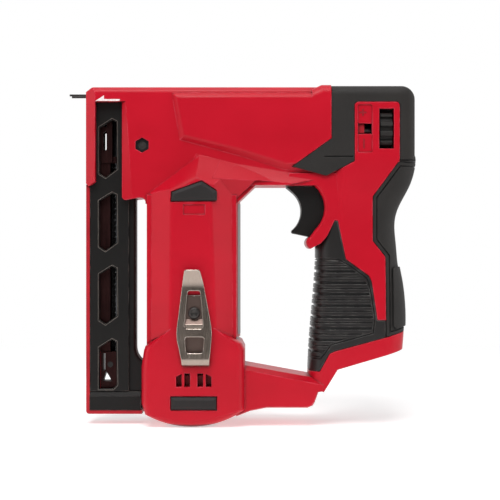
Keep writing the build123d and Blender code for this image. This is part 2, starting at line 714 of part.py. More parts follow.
def staple():
    crown = block(CROWN_REAR - WIRE_THICK, CROWN_REAR, -CROWN / 2, CROWN / 2, -WIRE_HIGH / 2, WIRE_HIGH / 2)
    legs = [block(-STAPLE_OUT, CROWN_REAR, side * (CROWN / 2 - WIRE_THICK / 2) - WIRE_THICK / 2,
                  side * (CROWN / 2 - WIRE_THICK / 2) + WIRE_THICK / 2, -WIRE_HIGH / 2, WIRE_HIGH / 2)
            for side in (-1, 1)]
    body = crown + legs[0] + legs[1]
    tips = body.edges().filter_by(Axis.Z).group_by(Axis.X)[0]
    return chamfer(tips, WIRE_THICK * 0.45)


def striker_bumper():
    body = beam_block(BUMPER_FRONT, STRIKER_FRONT - SLIDE_GAP, CAVITY_HALF, -32, -2)
    return body - rod_x(BUMPER_FRONT - 1, STRIKER_FRONT, ROD_RADIUS, z=ROD_Z)


def guide_rod():
    return rod_x(BUMPER_FRONT - 4, ROD_REAR, ROD_RADIUS, z=ROD_Z)


def main_spring():
    length = SEAT_FRONT - STRIKER_REAR
    body = coil(SPRING_RADIUS, SPRING_WIRE, SPRING_TURNS, length)
    return Pos(STRIKER_REAR, 0, ROD_Z) * Rot(0, 90, 0) * body


def spring_seat():
    rear = SEAT_FRONT + SEAT_LENGTH
    cup = rod_x(SEAT_FRONT, rear, SPRING_RADIUS + SPRING_WIRE / 2 + 0.5, z=ROD_Z)
    wings = beam_block(SEAT_FRONT, rear, CAVITY_HALF - SLIDE_GAP, ROD_Z - 3, ROD_Z + 3)
    return cup + wings - rod_x(SEAT_FRONT - 1, rear + 1, SCREW_RADIUS + SHAFT_GAP, z=ROD_Z)


def power_indicator():
    rear = SEAT_FRONT + SEAT_LENGTH
    plate = block(FLAG[0], FLAG[1], -FLAG_LEVEL, -FLAG_LEVEL + FLAG_PLATE, FLAG[2], FLAG[3])
    outside = -CAVITY_HALF + SLIDE_GAP
    arm = block(rear, FLAG[0] + 2, outside, outside + 2, ROD_Z - 2, ROD_Z + 2)
    web = block(FLAG[0], FLAG[0] + 2, -FLAG_LEVEL, outside + 2, ROD_Z - 2, ROD_Z + 2)
    return plate + arm + web


def adjuster_screw():
    thread = rod_x(SCREW_FRONT, WHEEL_FRONT, SCREW_RADIUS, z=ROD_Z)
    journal = rod_x(WHEEL_FRONT - 1, WHEEL_REAR + JOURNAL, SCREW_RADIUS - 1, z=ROD_Z)
    return thread + journal


def power_wheel():
    wheel = rod_x(WHEEL_FRONT, WHEEL_REAR, WHEEL_RADIUS - RIB_RISE, z=ROD_Z)
    rib = beam_block(WHEEL_FRONT, WHEEL_REAR, RIB_WIDTH / 2, WHEEL_RADIUS - 2 * RIB_RISE, WHEEL_RADIUS)
    rib = chamfer(rib.edges().filter_by(Axis.X).group_by(Axis.Z)[-1], RIB_RISE / 4)
    for index in range(WHEEL_RIBS):
        wheel = wheel + Pos(0, 0, ROD_Z) * Rot(360 / WHEEL_RIBS * index, 0, 0) * rib
    return wheel - rod_x(WHEEL_FRONT - 1, WHEEL_REAR + 1, SCREW_RADIUS - 1, z=ROD_Z)


# Trigger, switch and battery contacts in the handle

TRIGGER_TOP = BEAM_BOTTOM - FREE_GAP
POCKET_BOTTOM = -90.6
TRIGGER_REAR = 154.6
SWITCH_FRONT = TRIGGER_REAR + TRIGGER_TRAVEL + SPRING_ROOM
SWITCH = (SWITCH_FRONT, SWITCH_FRONT + 20.0, -85.0, -63.0)
SWITCH_HALF = 8.0
CABLE_ROOM = (150.0, 176.0)
BLADES = 3


def trigger():
    body = both(
        TRIGGER_HALF, (126.6, TRIGGER_TOP), (130.4, -61.5), ((135.9, -70.6), (130.6, -85.6)),
        ((130.2, -87.0), (131.6, -87.9)), (143.0, POCKET_BOTTOM + SLIDE_GAP), (150.5, -84.0),
        ((TRIGGER_REAR, -71.0), (150.0, TRIGGER_TOP)))
    return body - rod_x(151, 160, 3.2, z=-72.0)


def trigger_spring():
    start = 151.0
    body = coil(2.2, 0.7, 7, SWITCH[0] - start)
    return Pos(start, 0, -72.0) * Rot(0, 90, 0) * body


def trigger_switch():
    body = beam_block(SWITCH[0], SWITCH[1], SWITCH_HALF, SWITCH[2], SWITCH[3])
    return body + beam_block(SWITCH[0] + 3, SWITCH[1] - 3, SWITCH_HALF - 2, SWITCH[2] - 4, SWITCH[3])


def terminal_block():
    half = TRIGGER_HALF + SLIDE_GAP
    return beam_block(CABLE_ROOM[0] + 2, CABLE_ROOM[1] - 2, half, SOCKET_TOP - 4, SOCKET_TOP + 6)


def battery_contacts():
    blades = []
    pitch = (CABLE_ROOM[1] - CABLE_ROOM[0] - 12) / (BLADES - 1)
    for index in range(BLADES):
        x = CABLE_ROOM[0] + 6 + index * pitch
        blades.append(beam_block(x - 0.4, x + 0.4, 3, SOCKET_TOP - 16, SOCKET_TOP - 4))
    return Compound(children=blades)


BOARD = (104.0, 136.0, 10.0, -190.0)


def circuit_board():
    board = beam_block(BOARD[0], BOARD[1], BOARD[2], BOARD[3], BOARD[3] + 1.6)
    top = BOARD[3] + 1.6
    parts = [beam_block(108, 118, 5, top - 0.1, top + 5), beam_block(122, 127, 7, top - 0.1, top + 3.5)]
    return joined([board] + parts)


# Belt clip on the left of the column

CLIP_X = 69.2
CLIP_Z = -137.2
CLIP_SHEET = 1.2
CLIP_GAP = 4.6
CLIP_ROUND = 1.5
INSERT_RADIUS = 3.0
THREAD_RADIUS = 2.0
INSERT_LENGTH = 6.0


def belt_clip():
    back = -COLUMN_HALF
    inner = back - CLIP_SHEET
    under = inner - CLIP_GAP
    outer_face = under - CLIP_SHEET
    fold = -167.0
    bend = (CLIP_GAP + 2 * CLIP_SHEET) / 2
    middle = back - bend
    edges = [
        Line((0, back, -122), (0, back, fold)),
        ThreePointArc((0, back, fold), (0, middle, fold - bend), (0, outer_face, fold)),
        Line((0, outer_face, fold), (0, inner - 2.6, -118)),
        Line((0, inner - 2.6, -118), (0, inner - 5.2, -110.6)),
        Line((0, inner - 5.2, -110.6), (0, inner - 4.0, -110.2)),
        Line((0, inner - 4.0, -110.2), (0, inner - 1.4, -118)),
        Line((0, inner - 1.4, -118), (0, under, fold)),
        ThreePointArc((0, under, fold), (0, middle, fold - bend + CLIP_SHEET), (0, inner, fold)),
        Line((0, inner, fold), (0, inner, -122)),
        Line((0, inner, -122), (0, back, -122))]
    sheet = extrude(make_face(edges), 14, dir=(1, 0, 0), both=True)
    sheet = Pos(CLIP_X, 0, 0) * sheet
    outline = slab(outer_face - 5, back, (64.1, -109), (72.7, -109), (80.0, -148.0), (78.8, -166.0),
                   (78.8, -172.0), (61.4, -172.0), (61.4, -166.0), (58.6, -148.0))
    reach = (outer_face - 6, inner - 0.4)
    upper = slab(*reach, (65.5, -124.1), (72.7, -124.1), (74.8, -146.2), (63.4, -146.2))
    lower = slab(*reach, (64.4, -152.1), (75.4, -152.1), (74.6, -161.3), (64.6, -161.3))
    outline = fillet(outline.edges().filter_by(Axis.Y), CLIP_ROUND)
    upper = fillet(upper.edges().filter_by(Axis.Y), CLIP_ROUND)
    lower = fillet(lower.edges().filter_by(Axis.Y), CLIP_ROUND)
    clip = (sheet & outline) - upper - lower
    return clip - rod_y(back - 3, back + 1, THREAD_RADIUS + 0.2, CLIP_X, CLIP_Z)


def clip_screw():
    head_base = -COLUMN_HALF - CLIP_SHEET
    head = rod_y(head_base - 2.4, head_base, 3.8, CLIP_X, CLIP_Z)
    shank = rod_y(head_base - 1, head_base + 6.4, THREAD_RADIUS, CLIP_X, CLIP_Z)
    recess = rod_y(head_base - 3, head_base - 1.2, 1.6, CLIP_X, CLIP_Z)
    return head + shank - recess


def clip_inserts():
    end = -COLUMN_HALF + INSERT_LENGTH
    insert = rod_y(-COLUMN_HALF, end, INSERT_RADIUS, CLIP_X, CLIP_Z)
    insert = insert - rod_y(-COLUMN_HALF - 1, end + 1, THREAD_RADIUS, CLIP_X, CLIP_Z)
    return Compound(children=mirrored(insert))


# Magazine with its drawer, pusher and latch

FLANGE_FRONT = 27.0
FLANGE_HALF = 7.0
FOOT_REAR = 35.4
LUG_REAR = 40.0
LUG_HALF = 4.0
BOLT = (35.9, -32.4)
BOLT_RADIUS = 2.5
NUT_FLATS = 8.0
STRIP_TOP = CHEEK_END - 3.4
BRACKET_TOP = -163.0
BRACKET_FRONT = 9.0
PUSHER_TOP = -WIRE_HIGH / 2 - SLIDE_GAP
PUSHER_SHEET = 0.7
SPRING_X = 18.4
PUSHER_WIRE = 0.6
PUSHER_COIL = 1.7
PUSHER_TURNS = 30
GUIDE_RADIUS = 0.9
LATCH_TOP = MAG_BOTTOM - SLIDE_GAP
LATCH_PRESS = 1.6
WEB_HALF = 1.4
LATCH_SPRING_X = 20.0
LATCH_SPRING_Z = -194.0


def window(index):
    top = WINDOW_TOP - index * WINDOW_PITCH
    low = max(top - WINDOW_HIGH, MAG_BOTTOM + 1.6)
    if low > top - WINDOW_HIGH:
        end = [(19.3, low + 2.4), (17.0, low), (8.5, low)]
    else:
        end = [(19.3, low + 5.2), (12.2, low), (8.5, low + 2.4)]
    outline = [(8.5, top - 4.9), (16.4, top), (18.9, top - 1.2)] + end
    bevel = frustum(-MAG_HALF + WINDOW_BEVEL, outline, -MAG_HALF - 0.01, inset(outline, -WINDOW_BEVEL))
    # The far side is open only as far back as the rail, and a blind recess behind it.
    near = slab(-MAG_HALF - 1, 0, *outline)
    far = slab(0, MAG_HALF + 1, *outline) & beam_block(0, CORE_REAR - 1, MAG_HALF + 1, MAG_BOTTOM, MAG_TOP)
    return [near, far, slab(MAG_HALF - MAG_WALL / 2, MAG_HALF + 1, *outline)] + mirrored(bevel)


def magazine_body():
    body = beam_block(MAG_FRONT, FLANGE_FRONT, MAG_HALF, MAG_BOTTOM, MAG_TOP)
    flange = both(
        FLANGE_HALF, (FLANGE_FRONT - 1, MAG_TOP), (MAG_REAR, MAG_TOP), (MAG_REAR, -160.0),
        ((MAG_REAR + 1.3, -165.2), (FOOT_REAR, -168.6)), (FOOT_REAR, MAG_BOTTOM),
        (FLANGE_FRONT - 1, MAG_BOTTOM))
    rear_edges = flange.edges().filter_by(Axis.Z).filter_by_position(Axis.X, MAG_REAR - 0.1, MAG_REAR + 0.1)
    body = body + fillet(rear_edges, 2.0)
    body = body + beam_block(MAG_REAR - 2, LUG_REAR, LUG_HALF, BOLT[1] - 6, BOLT[1] + 6)
    channel = beam_block(MAG_FRONT - 1, CHANNEL_REAR, CHANNEL_HALF, MAG_BOTTOM - 1, MAG_TOP + 1)
    holes = []
    for index in range(WINDOW_COUNT):
        holes += window(index)
    holes.append(rod_y(-MAG_HALF, MAG_HALF, BOLT_RADIUS + SHAFT_GAP, *BOLT))
    return body - channel - holes


def staple_rail():
    core = beam_block(RAIL_FRONT, CORE_REAR, CORE_HALF, BRACKET_TOP, PUSHER_TOP)
    slot = both(CORE_HALF + 1, (9.6, -18.0), (13.4, -16.5), (13.4, -37.5), (9.6, -39.0))
    return core - slot


def drawer_rail():
    rail = beam_block(MAG_FRONT, BRACKET_FRONT, CORE_HALF, MAG_BOTTOM, BRACKET_TOP)
    strip = both(MAG_HALF, (0, DRAWER_BOTTOM), (STRIP, DRAWER_BOTTOM), (STRIP, CHEEK_END - STRIP - 1.35),
                 (0, CHEEK_END - 1.35))
    joint = beam_block(STRIP - 0.5, RAIL_FRONT, CORE_HALF, LATCH_TOP, STRIP_TOP)
    foot = beam_block(0, FOOT_REAR, MAG_HALF, DRAWER_BOTTOM, DRAWER_BOTTOM + FOOT_PLATE)
    web = beam_block(STRIP - 0.5, FOOT_REAR - 3, WEB_HALF, DRAWER_BOTTOM, LATCH_TOP)
    tail = beam_block(MAG_FRONT, CORE_REAR, CORE_HALF, LATCH_TOP, MAG_BOTTOM + 2)
    body = joined([rail, strip, joint, foot, web, tail])
    corner = body.edges().filter_by(Axis.Y).group_by(Axis.Z)[0].group_by(Axis.X)[0]
    return fillet(corner, DRAWER_ROUND) - rod_y(-9, 9, 3.2, LATCH_SPRING_X, LATCH_SPRING_Z)


def end_bracket():
    half = CHANNEL_HALF - SLIDE_GAP
    body = beam_block(BRACKET_FRONT, CHANNEL_REAR - SLIDE_GAP, half, MAG_BOTTOM + 2, BRACKET_TOP)
    slit = both(MAG_HALF, (10.3, -164.2), (11.6, -163.8), (11.6, -174.4), (10.3, -175.4))
    triangle = both(MAG_HALF, (12.2, -175.2), (16.0, -181.6), (10.2, -181.6))
    pin = rod_y(-9, 9, 1.8, 14.9, -171.0)
    rod = rod_z(MAG_BOTTOM, BRACKET_TOP + 1, GUIDE_RADIUS, SPRING_X)
    return body - slit - triangle - pin - rod


def bracket_pin():
    reach = CHANNEL_HALF - SLIDE_GAP
    return rod_y(-reach, reach, 1.8, 14.9, -171.0)


def spring_rod():
    return rod_z(MAG_BOTTOM + 4, MAG_TOP - 4, GUIDE_RADIUS, SPRING_X)


def pusher():
    outside = CHANNEL_HALF - SLIDE_GAP
    inside = outside - PUSHER_SHEET
    low = PUSHER_TOP - PUSHER_LENGTH
    web_front = CORE_REAR + SLIDE_GAP
    body = beam_block(6.5, web_front + 1, outside, low, PUSHER_TOP)
    body = body - beam_block(6, web_front, inside, low - 1, PUSHER_TOP + 1)
    tab = beam_block(web_front + 0.5, CHANNEL_REAR - SLIDE_GAP, 2.8, low, low + 4)
    slot = both(CHANNEL_HALF, (10.6, -23.6), (12.5, -22.6), (12.5, -34.5), (10.6, -35.5))
    hole = rod_y(-9, 9, 0.9, 12.0, -19.4)
    return body + tab - rod_z(low - 1, low + 5, GUIDE_RADIUS + 0.1, SPRING_X) - slot - hole


def pusher_spring():
    length = PUSHER_TOP - PUSHER_LENGTH - BRACKET_TOP
    return Pos(SPRING_X, 0, BRACKET_TOP) * coil(PUSHER_COIL, PUSHER_WIRE, PUSHER_TURNS, length)


def latch_half():
    inner = WEB_HALF + LATCH_PRESS + 0.5
    low = DRAWER_BOTTOM + FOOT_PLATE
    body = block(STRIP, FOOT_REAR - 1, -MAG_HALF - 0.5, -inner, low, LATCH_TOP)
    crest = body.edges().filter_by(Axis.X).group_by(Axis.Z)[-1].group_by(Axis.Y)[0]
    body = chamfer(crest, 3.0, 1.2)
    seat = rod_y(-MAG_HALF + 2, 0, 2.9, LATCH_SPRING_X, LATCH_SPRING_Z)
    return body - seat


def latch_spring():
    reach = MAG_HALF - 2
    body = coil(2.0, 0.6, 6, 2 * reach)
    return Pos(LATCH_SPRING_X, -reach, LATCH_SPRING_Z) * Rot(-90, 0, 0) * body


# Bumpers and fasteners

PAD_RISE = 1.6
PAD_SEAT = 2.0
PAD_BEVEL = 1.8
PAD_GAP = 0.6
SCREWS = [(36.4, -55.5), (104.0, -49.5), (190.0, -50.0), (46.0, -197.5), (91.0, -195.5), (141.5, -186.0),
          (181.5, -99.0)]
SCREW_SEAT = 6.0
SCREW_TIP = -10.0
SCREW_SHANK = 1.6
SCREW_HEAD = 3.3
UPPER_PAD = [(55.0, -67.9), (55.3, -62.5), (73.7, -55.8), (83.2, -62.0), (83.2, -67.6)]
LOWER_PAD = [(54.9, -189.5), (82.7, -189.5), (82.7, -197.1), (54.9, -197.1)]


def pad(outline):
    base = -COLUMN_HALF + PAD_SEAT
    middle = -COLUMN_HALF - PAD_RISE / 3
    crown = frustum(middle, outline, -COLUMN_HALF - PAD_RISE, inset(outline, PAD_BEVEL))
    return slab(middle, base, *outline) + crown


def pad_pocket(outline):
    return slab(-COLUMN_HALF - 5, -COLUMN_HALF + PAD_SEAT, *inset(outline, -PAD_GAP))


def housing_screws():
    screws = []
    for x, z in SCREWS:
        head = rod_y(SCREW_SEAT, SCREW_SEAT + 2.6, SCREW_HEAD, x, z)
        head = head - rod_y(SCREW_SEAT + 1.0, SCREW_SEAT + 3, 1.5, x, z)
        screws.append(head + rod_y(SCREW_TIP, SCREW_SEAT + 0.5, SCREW_SHANK, x, z))
    return Compound(children=screws)


def nose_bolt():
    head = rod_y(9, 13.5, 4.2, *BOLT) - rod_y(11.5, 14, 2.2, *BOLT)
    return head + rod_y(-13.0, 9.5, BOLT_RADIUS, *BOLT)


def hexagon(low, high, flats):
    corner = flats / math.sqrt(3)
    points = []
    for index in range(6):
        angle = math.radians(30 + 60 * index)
        points.append((BOLT[0] + corner * math.cos(angle), BOLT[1] + corner * math.sin(angle)))
    return slab(low, high, *points)


def nose_nut():
    return hexagon(-13.2, -9.2, NUT_FLATS) - rod_y(-14, -8, BOLT_RADIUS, *BOLT)


# Hollow of the housing

RECESS = 0.6
DIAL_SIGNS = (171.2, 180.3, -37.2, -7.2)
VENTS = (-183.1, -174.8)
VENT_WIDTH = 3.5
# Left edge of each slot and the drop of its upper corners, left and right
VENT_SPOTS = [(57.9, 2.0, 0.3), (63.0, 0.0, 0.0), (71.1, 0.0, 0.0), (76.3, 0.3, 2.0)]


def hollows():
    mag_gap = SLIDE_GAP
    trigger_room = TRIGGER_HALF + SLIDE_GAP
    cuts = [
        beam_block(MAG_FRONT - mag_gap, MAG_REAR + mag_gap, MAG_HALF + mag_gap, -80, MAG_TOP + mag_gap),
        beam_block(MAG_REAR, LUG_REAR + mag_gap, LUG_HALF + 0.1, BOLT[1] - 6.2, BOLT[1] + 6.2),
        beam_block(MAG_FRONT - mag_gap, CHANNEL_REAR, CHANNEL_HALF, MAG_TOP, 0),
        beam_block(-1, STRIKER_FRONT, CHANNEL_HALF, -WIRE_HIGH / 2 - mag_gap, WIRE_HIGH / 2 + mag_gap),
        beam_block(BUMPER_FRONT, WHEEL_FRONT - WALL, CAVITY_HALF, CAVITY_BOTTOM, CAVITY_TOP),
        rod_x(BUMPER_FRONT - 4, BUMPER_FRONT + 1, ROD_RADIUS, z=ROD_Z),
        rod_z(SEAT_TOP, BORE_TOP, BORE_RADIUS, AXIS_X),
        rod_z(SEAT_TOP - BEARING_HIGH, SEAT_TOP + 1, SEAT_RADIUS, AXIS_X),
        rod_z(CASE_TOP, CAVITY_BOTTOM + 1, CAVITY_HALF, AXIS_X),
        rod_x(WHEEL_FRONT - FREE_GAP, WHEEL_REAR + FREE_GAP, WHEEL_RADIUS + FREE_GAP, z=ROD_Z),
        rod_x(WHEEL_FRONT - 5, WHEEL_REAR + JOURNAL + FREE_GAP, SCREW_RADIUS + SHAFT_GAP, z=ROD_Z),
        block(160, FLAG_WINDOW[1] + 1, -FLAG_LEVEL - 0.3, -CAVITY_HALF + 1, FLAG[2] - 0.5, FLAG[3] + 0.5),
        block(FLAG_WINDOW[0], FLAG_WINDOW[1], -HEAD_HALF - 2, -FLAG_LEVEL, FLAG_WINDOW[2], FLAG_WINDOW[3]),
        beam_block(136, SWITCH[1] + 0.2, trigger_room, POCKET_BOTTOM, BEAM_BOTTOM),
        beam_block(CABLE_ROOM[0], CABLE_ROOM[1], trigger_room, SOCKET_TOP - 1, POCKET_BOTTOM + 1),
        beam_block(BOARD[0] - 1, BOARD[1] + 1, BOARD[2] + 0.5, BOARD[3], -179.0),
        rod_y(-20, 20, BOLT_RADIUS + SHAFT_GAP, *BOLT),
        rod_y(9, 20, 4.6, *BOLT),
        hexagon(-20, -9.2, NUT_FLATS + 0.3)]
    for x, z in SCREWS:
        cuts.append(rod_y(SCREW_SEAT, 40, SCREW_HEAD + 0.4, x, z))
        cuts.append(rod_y(SCREW_TIP - 1, SCREW_SEAT + 1, SCREW_SHANK, x, z))
    wheel_window = block(WHEEL_FRONT - 0.8, WHEEL_REAR + 0.8, -HEAD_HALF - 2, -10, -34.8, -9.7)
    vents = [slab(-40, -18, (x, VENTS[0]), (x + VENT_WIDTH, VENTS[0]), (x + VENT_WIDTH, VENTS[1] - right),
                  (x, VENTS[1] - left)) for x, left, right in VENT_SPOTS]
    front, rear, low, high = DIAL_SIGNS
    signs = block(front, rear, -HEAD_HALF - 1, -HEAD_HALF + RECESS, low, high)
    cuts.append(fillet(signs.edges().filter_by(Axis.Y), 2 * RECESS))
    label_recess = block(62.3, 75.8, -COLUMN_HALF - 5, -COLUMN_HALF + RECESS, -76.3, -70.1)
    for cut in vents + [wheel_window, label_recess, pad_pocket(UPPER_PAD), pad_pocket(LOWER_PAD)]:
        cuts += mirrored(cut)
    return cuts


def socket_hollow():
    inside = handle_form(SKIN + WALL)
    return inside & beam_block(100, 250, 40, -250, SOCKET_TOP)


def housing_ribs():
    ribs = [tube_z(level - 3, level, BORE_RADIUS + 0.2, CAN_RADIUS + SHAFT_GAP)
            for level in (CASE_BOTTOM - 10, CAN_BOTTOM + 10)]
    boss = rod_y(-BORE_RADIUS - 1, -CAN_RADIUS - 1.2, INSERT_RADIUS + 2.2, CLIP_X, CLIP_Z)
    return ribs + mirrored(boss)


def insert_holes():
    hole = rod_y(-COLUMN_HALF - 1, -COLUMN_HALF + INSERT_LENGTH, INSERT_RADIUS, CLIP_X, CLIP_Z)
    return mirrored(hole)


# Assembly

LEFT = block(-50, 300, -100, 0, -300, 100)
RIGHT = block(-50, 300, 0, 100, -300, 100)


def halves(*shapes):
    # Left and right half of shapes that grow together.
    return [joined([shape & side for shape in shapes]) for side in (LEFT, RIGHT)]


def shell_pieces():
    handle_core = handle_form(SKIN)
    head_core = head_form(SKIN)
    handle = handle_form(0) - below_handle()
    cover = (head_form(0) & head_region(SEAM)) - [head_core, cover_line()]
    front_grip = (handle & grip_region(FRONT_GRIP, SEAM)) - ([handle_core] + rib_cutters())
    rear_grip = (handle & grip_region(REAR_GRIP, SEAM)) - [grip_groove(REAR_GRIP, REAR_BORDER)]
    room = [head_region(0) - head_core, grip_region(FRONT_GRIP, 0) - handle_core,
            grip_region(REAR_GRIP, 0) - handle_core]
    housing = outer_form(handle) - (room + [socket_hollow()] + hollows())
    housing = joined([housing] + housing_ribs()) - insert_holes()
    return {"housing": halves(housing), "head_cover": halves(cover), "front_grip": halves(front_grip),
            "rear_grip": halves(rear_grip - handle_core, palm_pad() - handle_core)}


def build_nodes():
    nodes = {}
    for name, pair in shell_pieces().items():
        nodes[name + "_left"], nodes[name + "_right"] = pair
    for name, outline in (("upper_bumpers", UPPER_PAD), ("lower_bumpers", LOWER_PAD)):
        nodes[name] = Compound(children=mirrored(pad(outline)))
    nodes["latch_left"], nodes["latch_right"] = mirrored(latch_half())
    for index in range(PLANET_COUNT):
        nodes[f"planet_gear_{index + 1}"] = planet_gear(index)
    makers = [
        belt_clip, clip_screw, clip_inserts, housing_screws, nose_bolt, nose_nut,
        power_wheel, adjuster_screw, spring_seat, power_indicator,
        main_spring, guide_rod, striker, driver_blade, striker_bumper, staple,
        trigger, trigger_spring, trigger_switch, terminal_block, battery_contacts, circuit_board,
        magazine_body, drawer_rail, staple_rail, end_bracket, bracket_pin, spring_rod, pusher, pusher_spring,
        latch_spring, sun_gear, ring_gear, carrier, planet_pins, lifter_wheel, lifter_pin, gearbox_case,
        motor_can, motor_magnets, end_bell, rotor, fan]
    for maker in makers:
        nodes[maker.__name__] = maker()
    nodes["output_bearing"] = bearing(CASE_TOP - BEARING_HIGH, 2 * OUTPUT_RADIUS, OUTPUT_RADIUS)
    nodes["lower_bearing"] = bearing(SEAT_TOP - BEARING_HIGH, SEAT_RADIUS, SHAFT_RADIUS)
    return nodes


def main():
    os.makedirs("parts", exist_ok=True)
    for name, solid in build_nodes().items():
        solid.label = name
        export_step(solid, f"parts/{name}.step")
        print(name, round(solid.volume, 1), solid.is_valid, len(solid.solids()))


if __name__ == "__main__":
    main()
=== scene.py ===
import bpy
import bmesh
import math
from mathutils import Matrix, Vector


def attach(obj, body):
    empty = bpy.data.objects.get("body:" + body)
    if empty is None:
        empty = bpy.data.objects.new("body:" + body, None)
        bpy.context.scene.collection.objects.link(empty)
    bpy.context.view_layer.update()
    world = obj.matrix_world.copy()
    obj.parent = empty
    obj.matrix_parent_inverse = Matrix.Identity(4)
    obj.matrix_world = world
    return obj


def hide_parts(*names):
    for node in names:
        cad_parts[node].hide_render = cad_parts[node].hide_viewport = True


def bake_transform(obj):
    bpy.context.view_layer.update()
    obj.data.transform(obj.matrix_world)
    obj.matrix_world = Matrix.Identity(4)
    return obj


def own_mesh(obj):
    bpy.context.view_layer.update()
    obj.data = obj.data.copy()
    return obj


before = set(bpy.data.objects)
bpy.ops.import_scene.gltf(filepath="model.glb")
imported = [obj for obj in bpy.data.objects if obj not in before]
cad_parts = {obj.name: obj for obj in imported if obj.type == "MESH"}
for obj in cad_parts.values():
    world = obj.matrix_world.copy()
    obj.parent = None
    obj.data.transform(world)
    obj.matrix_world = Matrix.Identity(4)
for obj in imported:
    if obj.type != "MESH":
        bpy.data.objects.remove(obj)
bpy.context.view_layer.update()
mm = 0.001
print("frame loaded,", len(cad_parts), "pieces")


def ink(red, green, blue):  # screen colour 0..255 to scene colour
    def linear(value):
        value /= 255
        return value / 12.92 if value <= 0.04045 else ((value + 0.055) / 1.055) ** 2.4
    return (linear(red), linear(green), linear(blue), 1)


class Link:  # a socket that can stand in sums
    def __init__(self, finish, socket):
        self.finish = finish
        self.socket = socket

    def sums(self, operation, first, second):
        return self.finish.add("ShaderNodeMath", {"operation": operation}, {0: first, 1: second})

    def __add__(self, other):
        return self.sums("ADD", self, other)

    def __radd__(self, other):
        return self.sums("ADD", other, self)

    def __sub__(self, other):
        return self.sums("SUBTRACT", self, other)

    def __rsub__(self, other):
        return self.sums("SUBTRACT", other, self)

    def __mul__(self, other):
        return self.sums("MULTIPLY", self, other)

    def __rmul__(self, other):
        return self.sums("MULTIPLY", other, self)


# How edges and hollows are felt: cosine of the eased normal's turn, and share of open air
touch = {"edgeSamples": 4, "flat": 0.995, "sharp": 0.9, "hollowSamples": 6, "open": 0.9, "shut": 0.45}


class Finish:  # one material, or the world, and its nodes
    def __init__(self, name, holder=None):
        self.material = holder or bpy.data.materials.new(name)
        self.material.use_nodes = True
        self.tree = self.material.node_tree
        self.tree.nodes.clear()

    def add(self, kind, settings=None, sockets=None, out=0):
        node = self.tree.nodes.new(kind)
        for key, value in (settings or {}).items():
            setattr(node, key, value)
        for key, value in (sockets or {}).items():
            if isinstance(value, Link):
                self.tree.links.new(value.socket, node.inputs[key])
            else:
                node.inputs[key].default_value = value
        return Link(self, node.outputs[out]) if node.outputs else None

    def larger(self, first, second):
        return self.add("ShaderNodeMath", {"operation": "MAXIMUM"}, {0: first, 1: second})

    def mix(self, factor, low, high):  # between two colours, on the node's colour sockets
        return self.add("ShaderNodeMix", {"data_type": "RGBA"}, {0: factor, 6: low, 7: high}, 2)

    def place(self):  # metres on the piece
        return self.add("ShaderNodeTexCoord", out="Object")

    def measure(self, axis, vector=None):  # a place's x, y or z
        return self.add("ShaderNodeSeparateXYZ", {}, {0: vector or self.place()}, axis)

    def stretch(self, scale):
        return self.add("ShaderNodeMapping", {}, {"Vector": self.place(), "Scale": scale})

    def noise(self, scale, detail=3, rough=0.5, vector=None):
        return self.add("ShaderNodeTexNoise", {}, {
            "Vector": vector or self.place(), "Scale": scale, "Detail": detail, "Roughness": rough})

    def cells(self, scale, smooth=0.6):
        return self.add("ShaderNodeTexVoronoi", {"feature": "SMOOTH_F1"}, {
            "Vector": self.place(), "Scale": scale, "Smoothness": smooth})

    def span(self, value, low, high):  # 0 at low to 1 at high, held there
        return self.add("ShaderNodeMapRange", {"clamp": True}, {"Value": value, 1: low, 2: high})

    def rounded(self, radius):  # normal with its edges eased
        return self.add("ShaderNodeBevel", {"samples": touch["edgeSamples"]}, {"Radius": radius})

    def edges(self, radius):  # 1 along outer and inner edges
        plain = self.add("ShaderNodeNewGeometry", out="Normal")
        turn = self.add("ShaderNodeVectorMath", {"operation": "DOT_PRODUCT"},
                        {0: self.rounded(radius), 1: plain}, "Value")
        return self.span(turn, touch["flat"], touch["sharp"])

    def hollows(self, reach):  # 1 in narrow grooves and corners
        clear = self.add("ShaderNodeAmbientOcclusion", {"samples": touch["hollowSamples"]},
                         {"Distance": reach}, "AO")
        return self.span(clear, touch["open"], touch["shut"])

    def bump(self, height, depth, normal):
        return self.add("ShaderNodeBump", {}, {
            "Strength": 1, "Distance": depth, "Height": height, "Normal": normal})

    def close(self, sockets):
        shader = self.add("ShaderNodeBsdfPrincipled", {}, sockets)
        self.add("ShaderNodeOutputMaterial", {}, {"Surface": shader})
        return self.material


finishes = {}

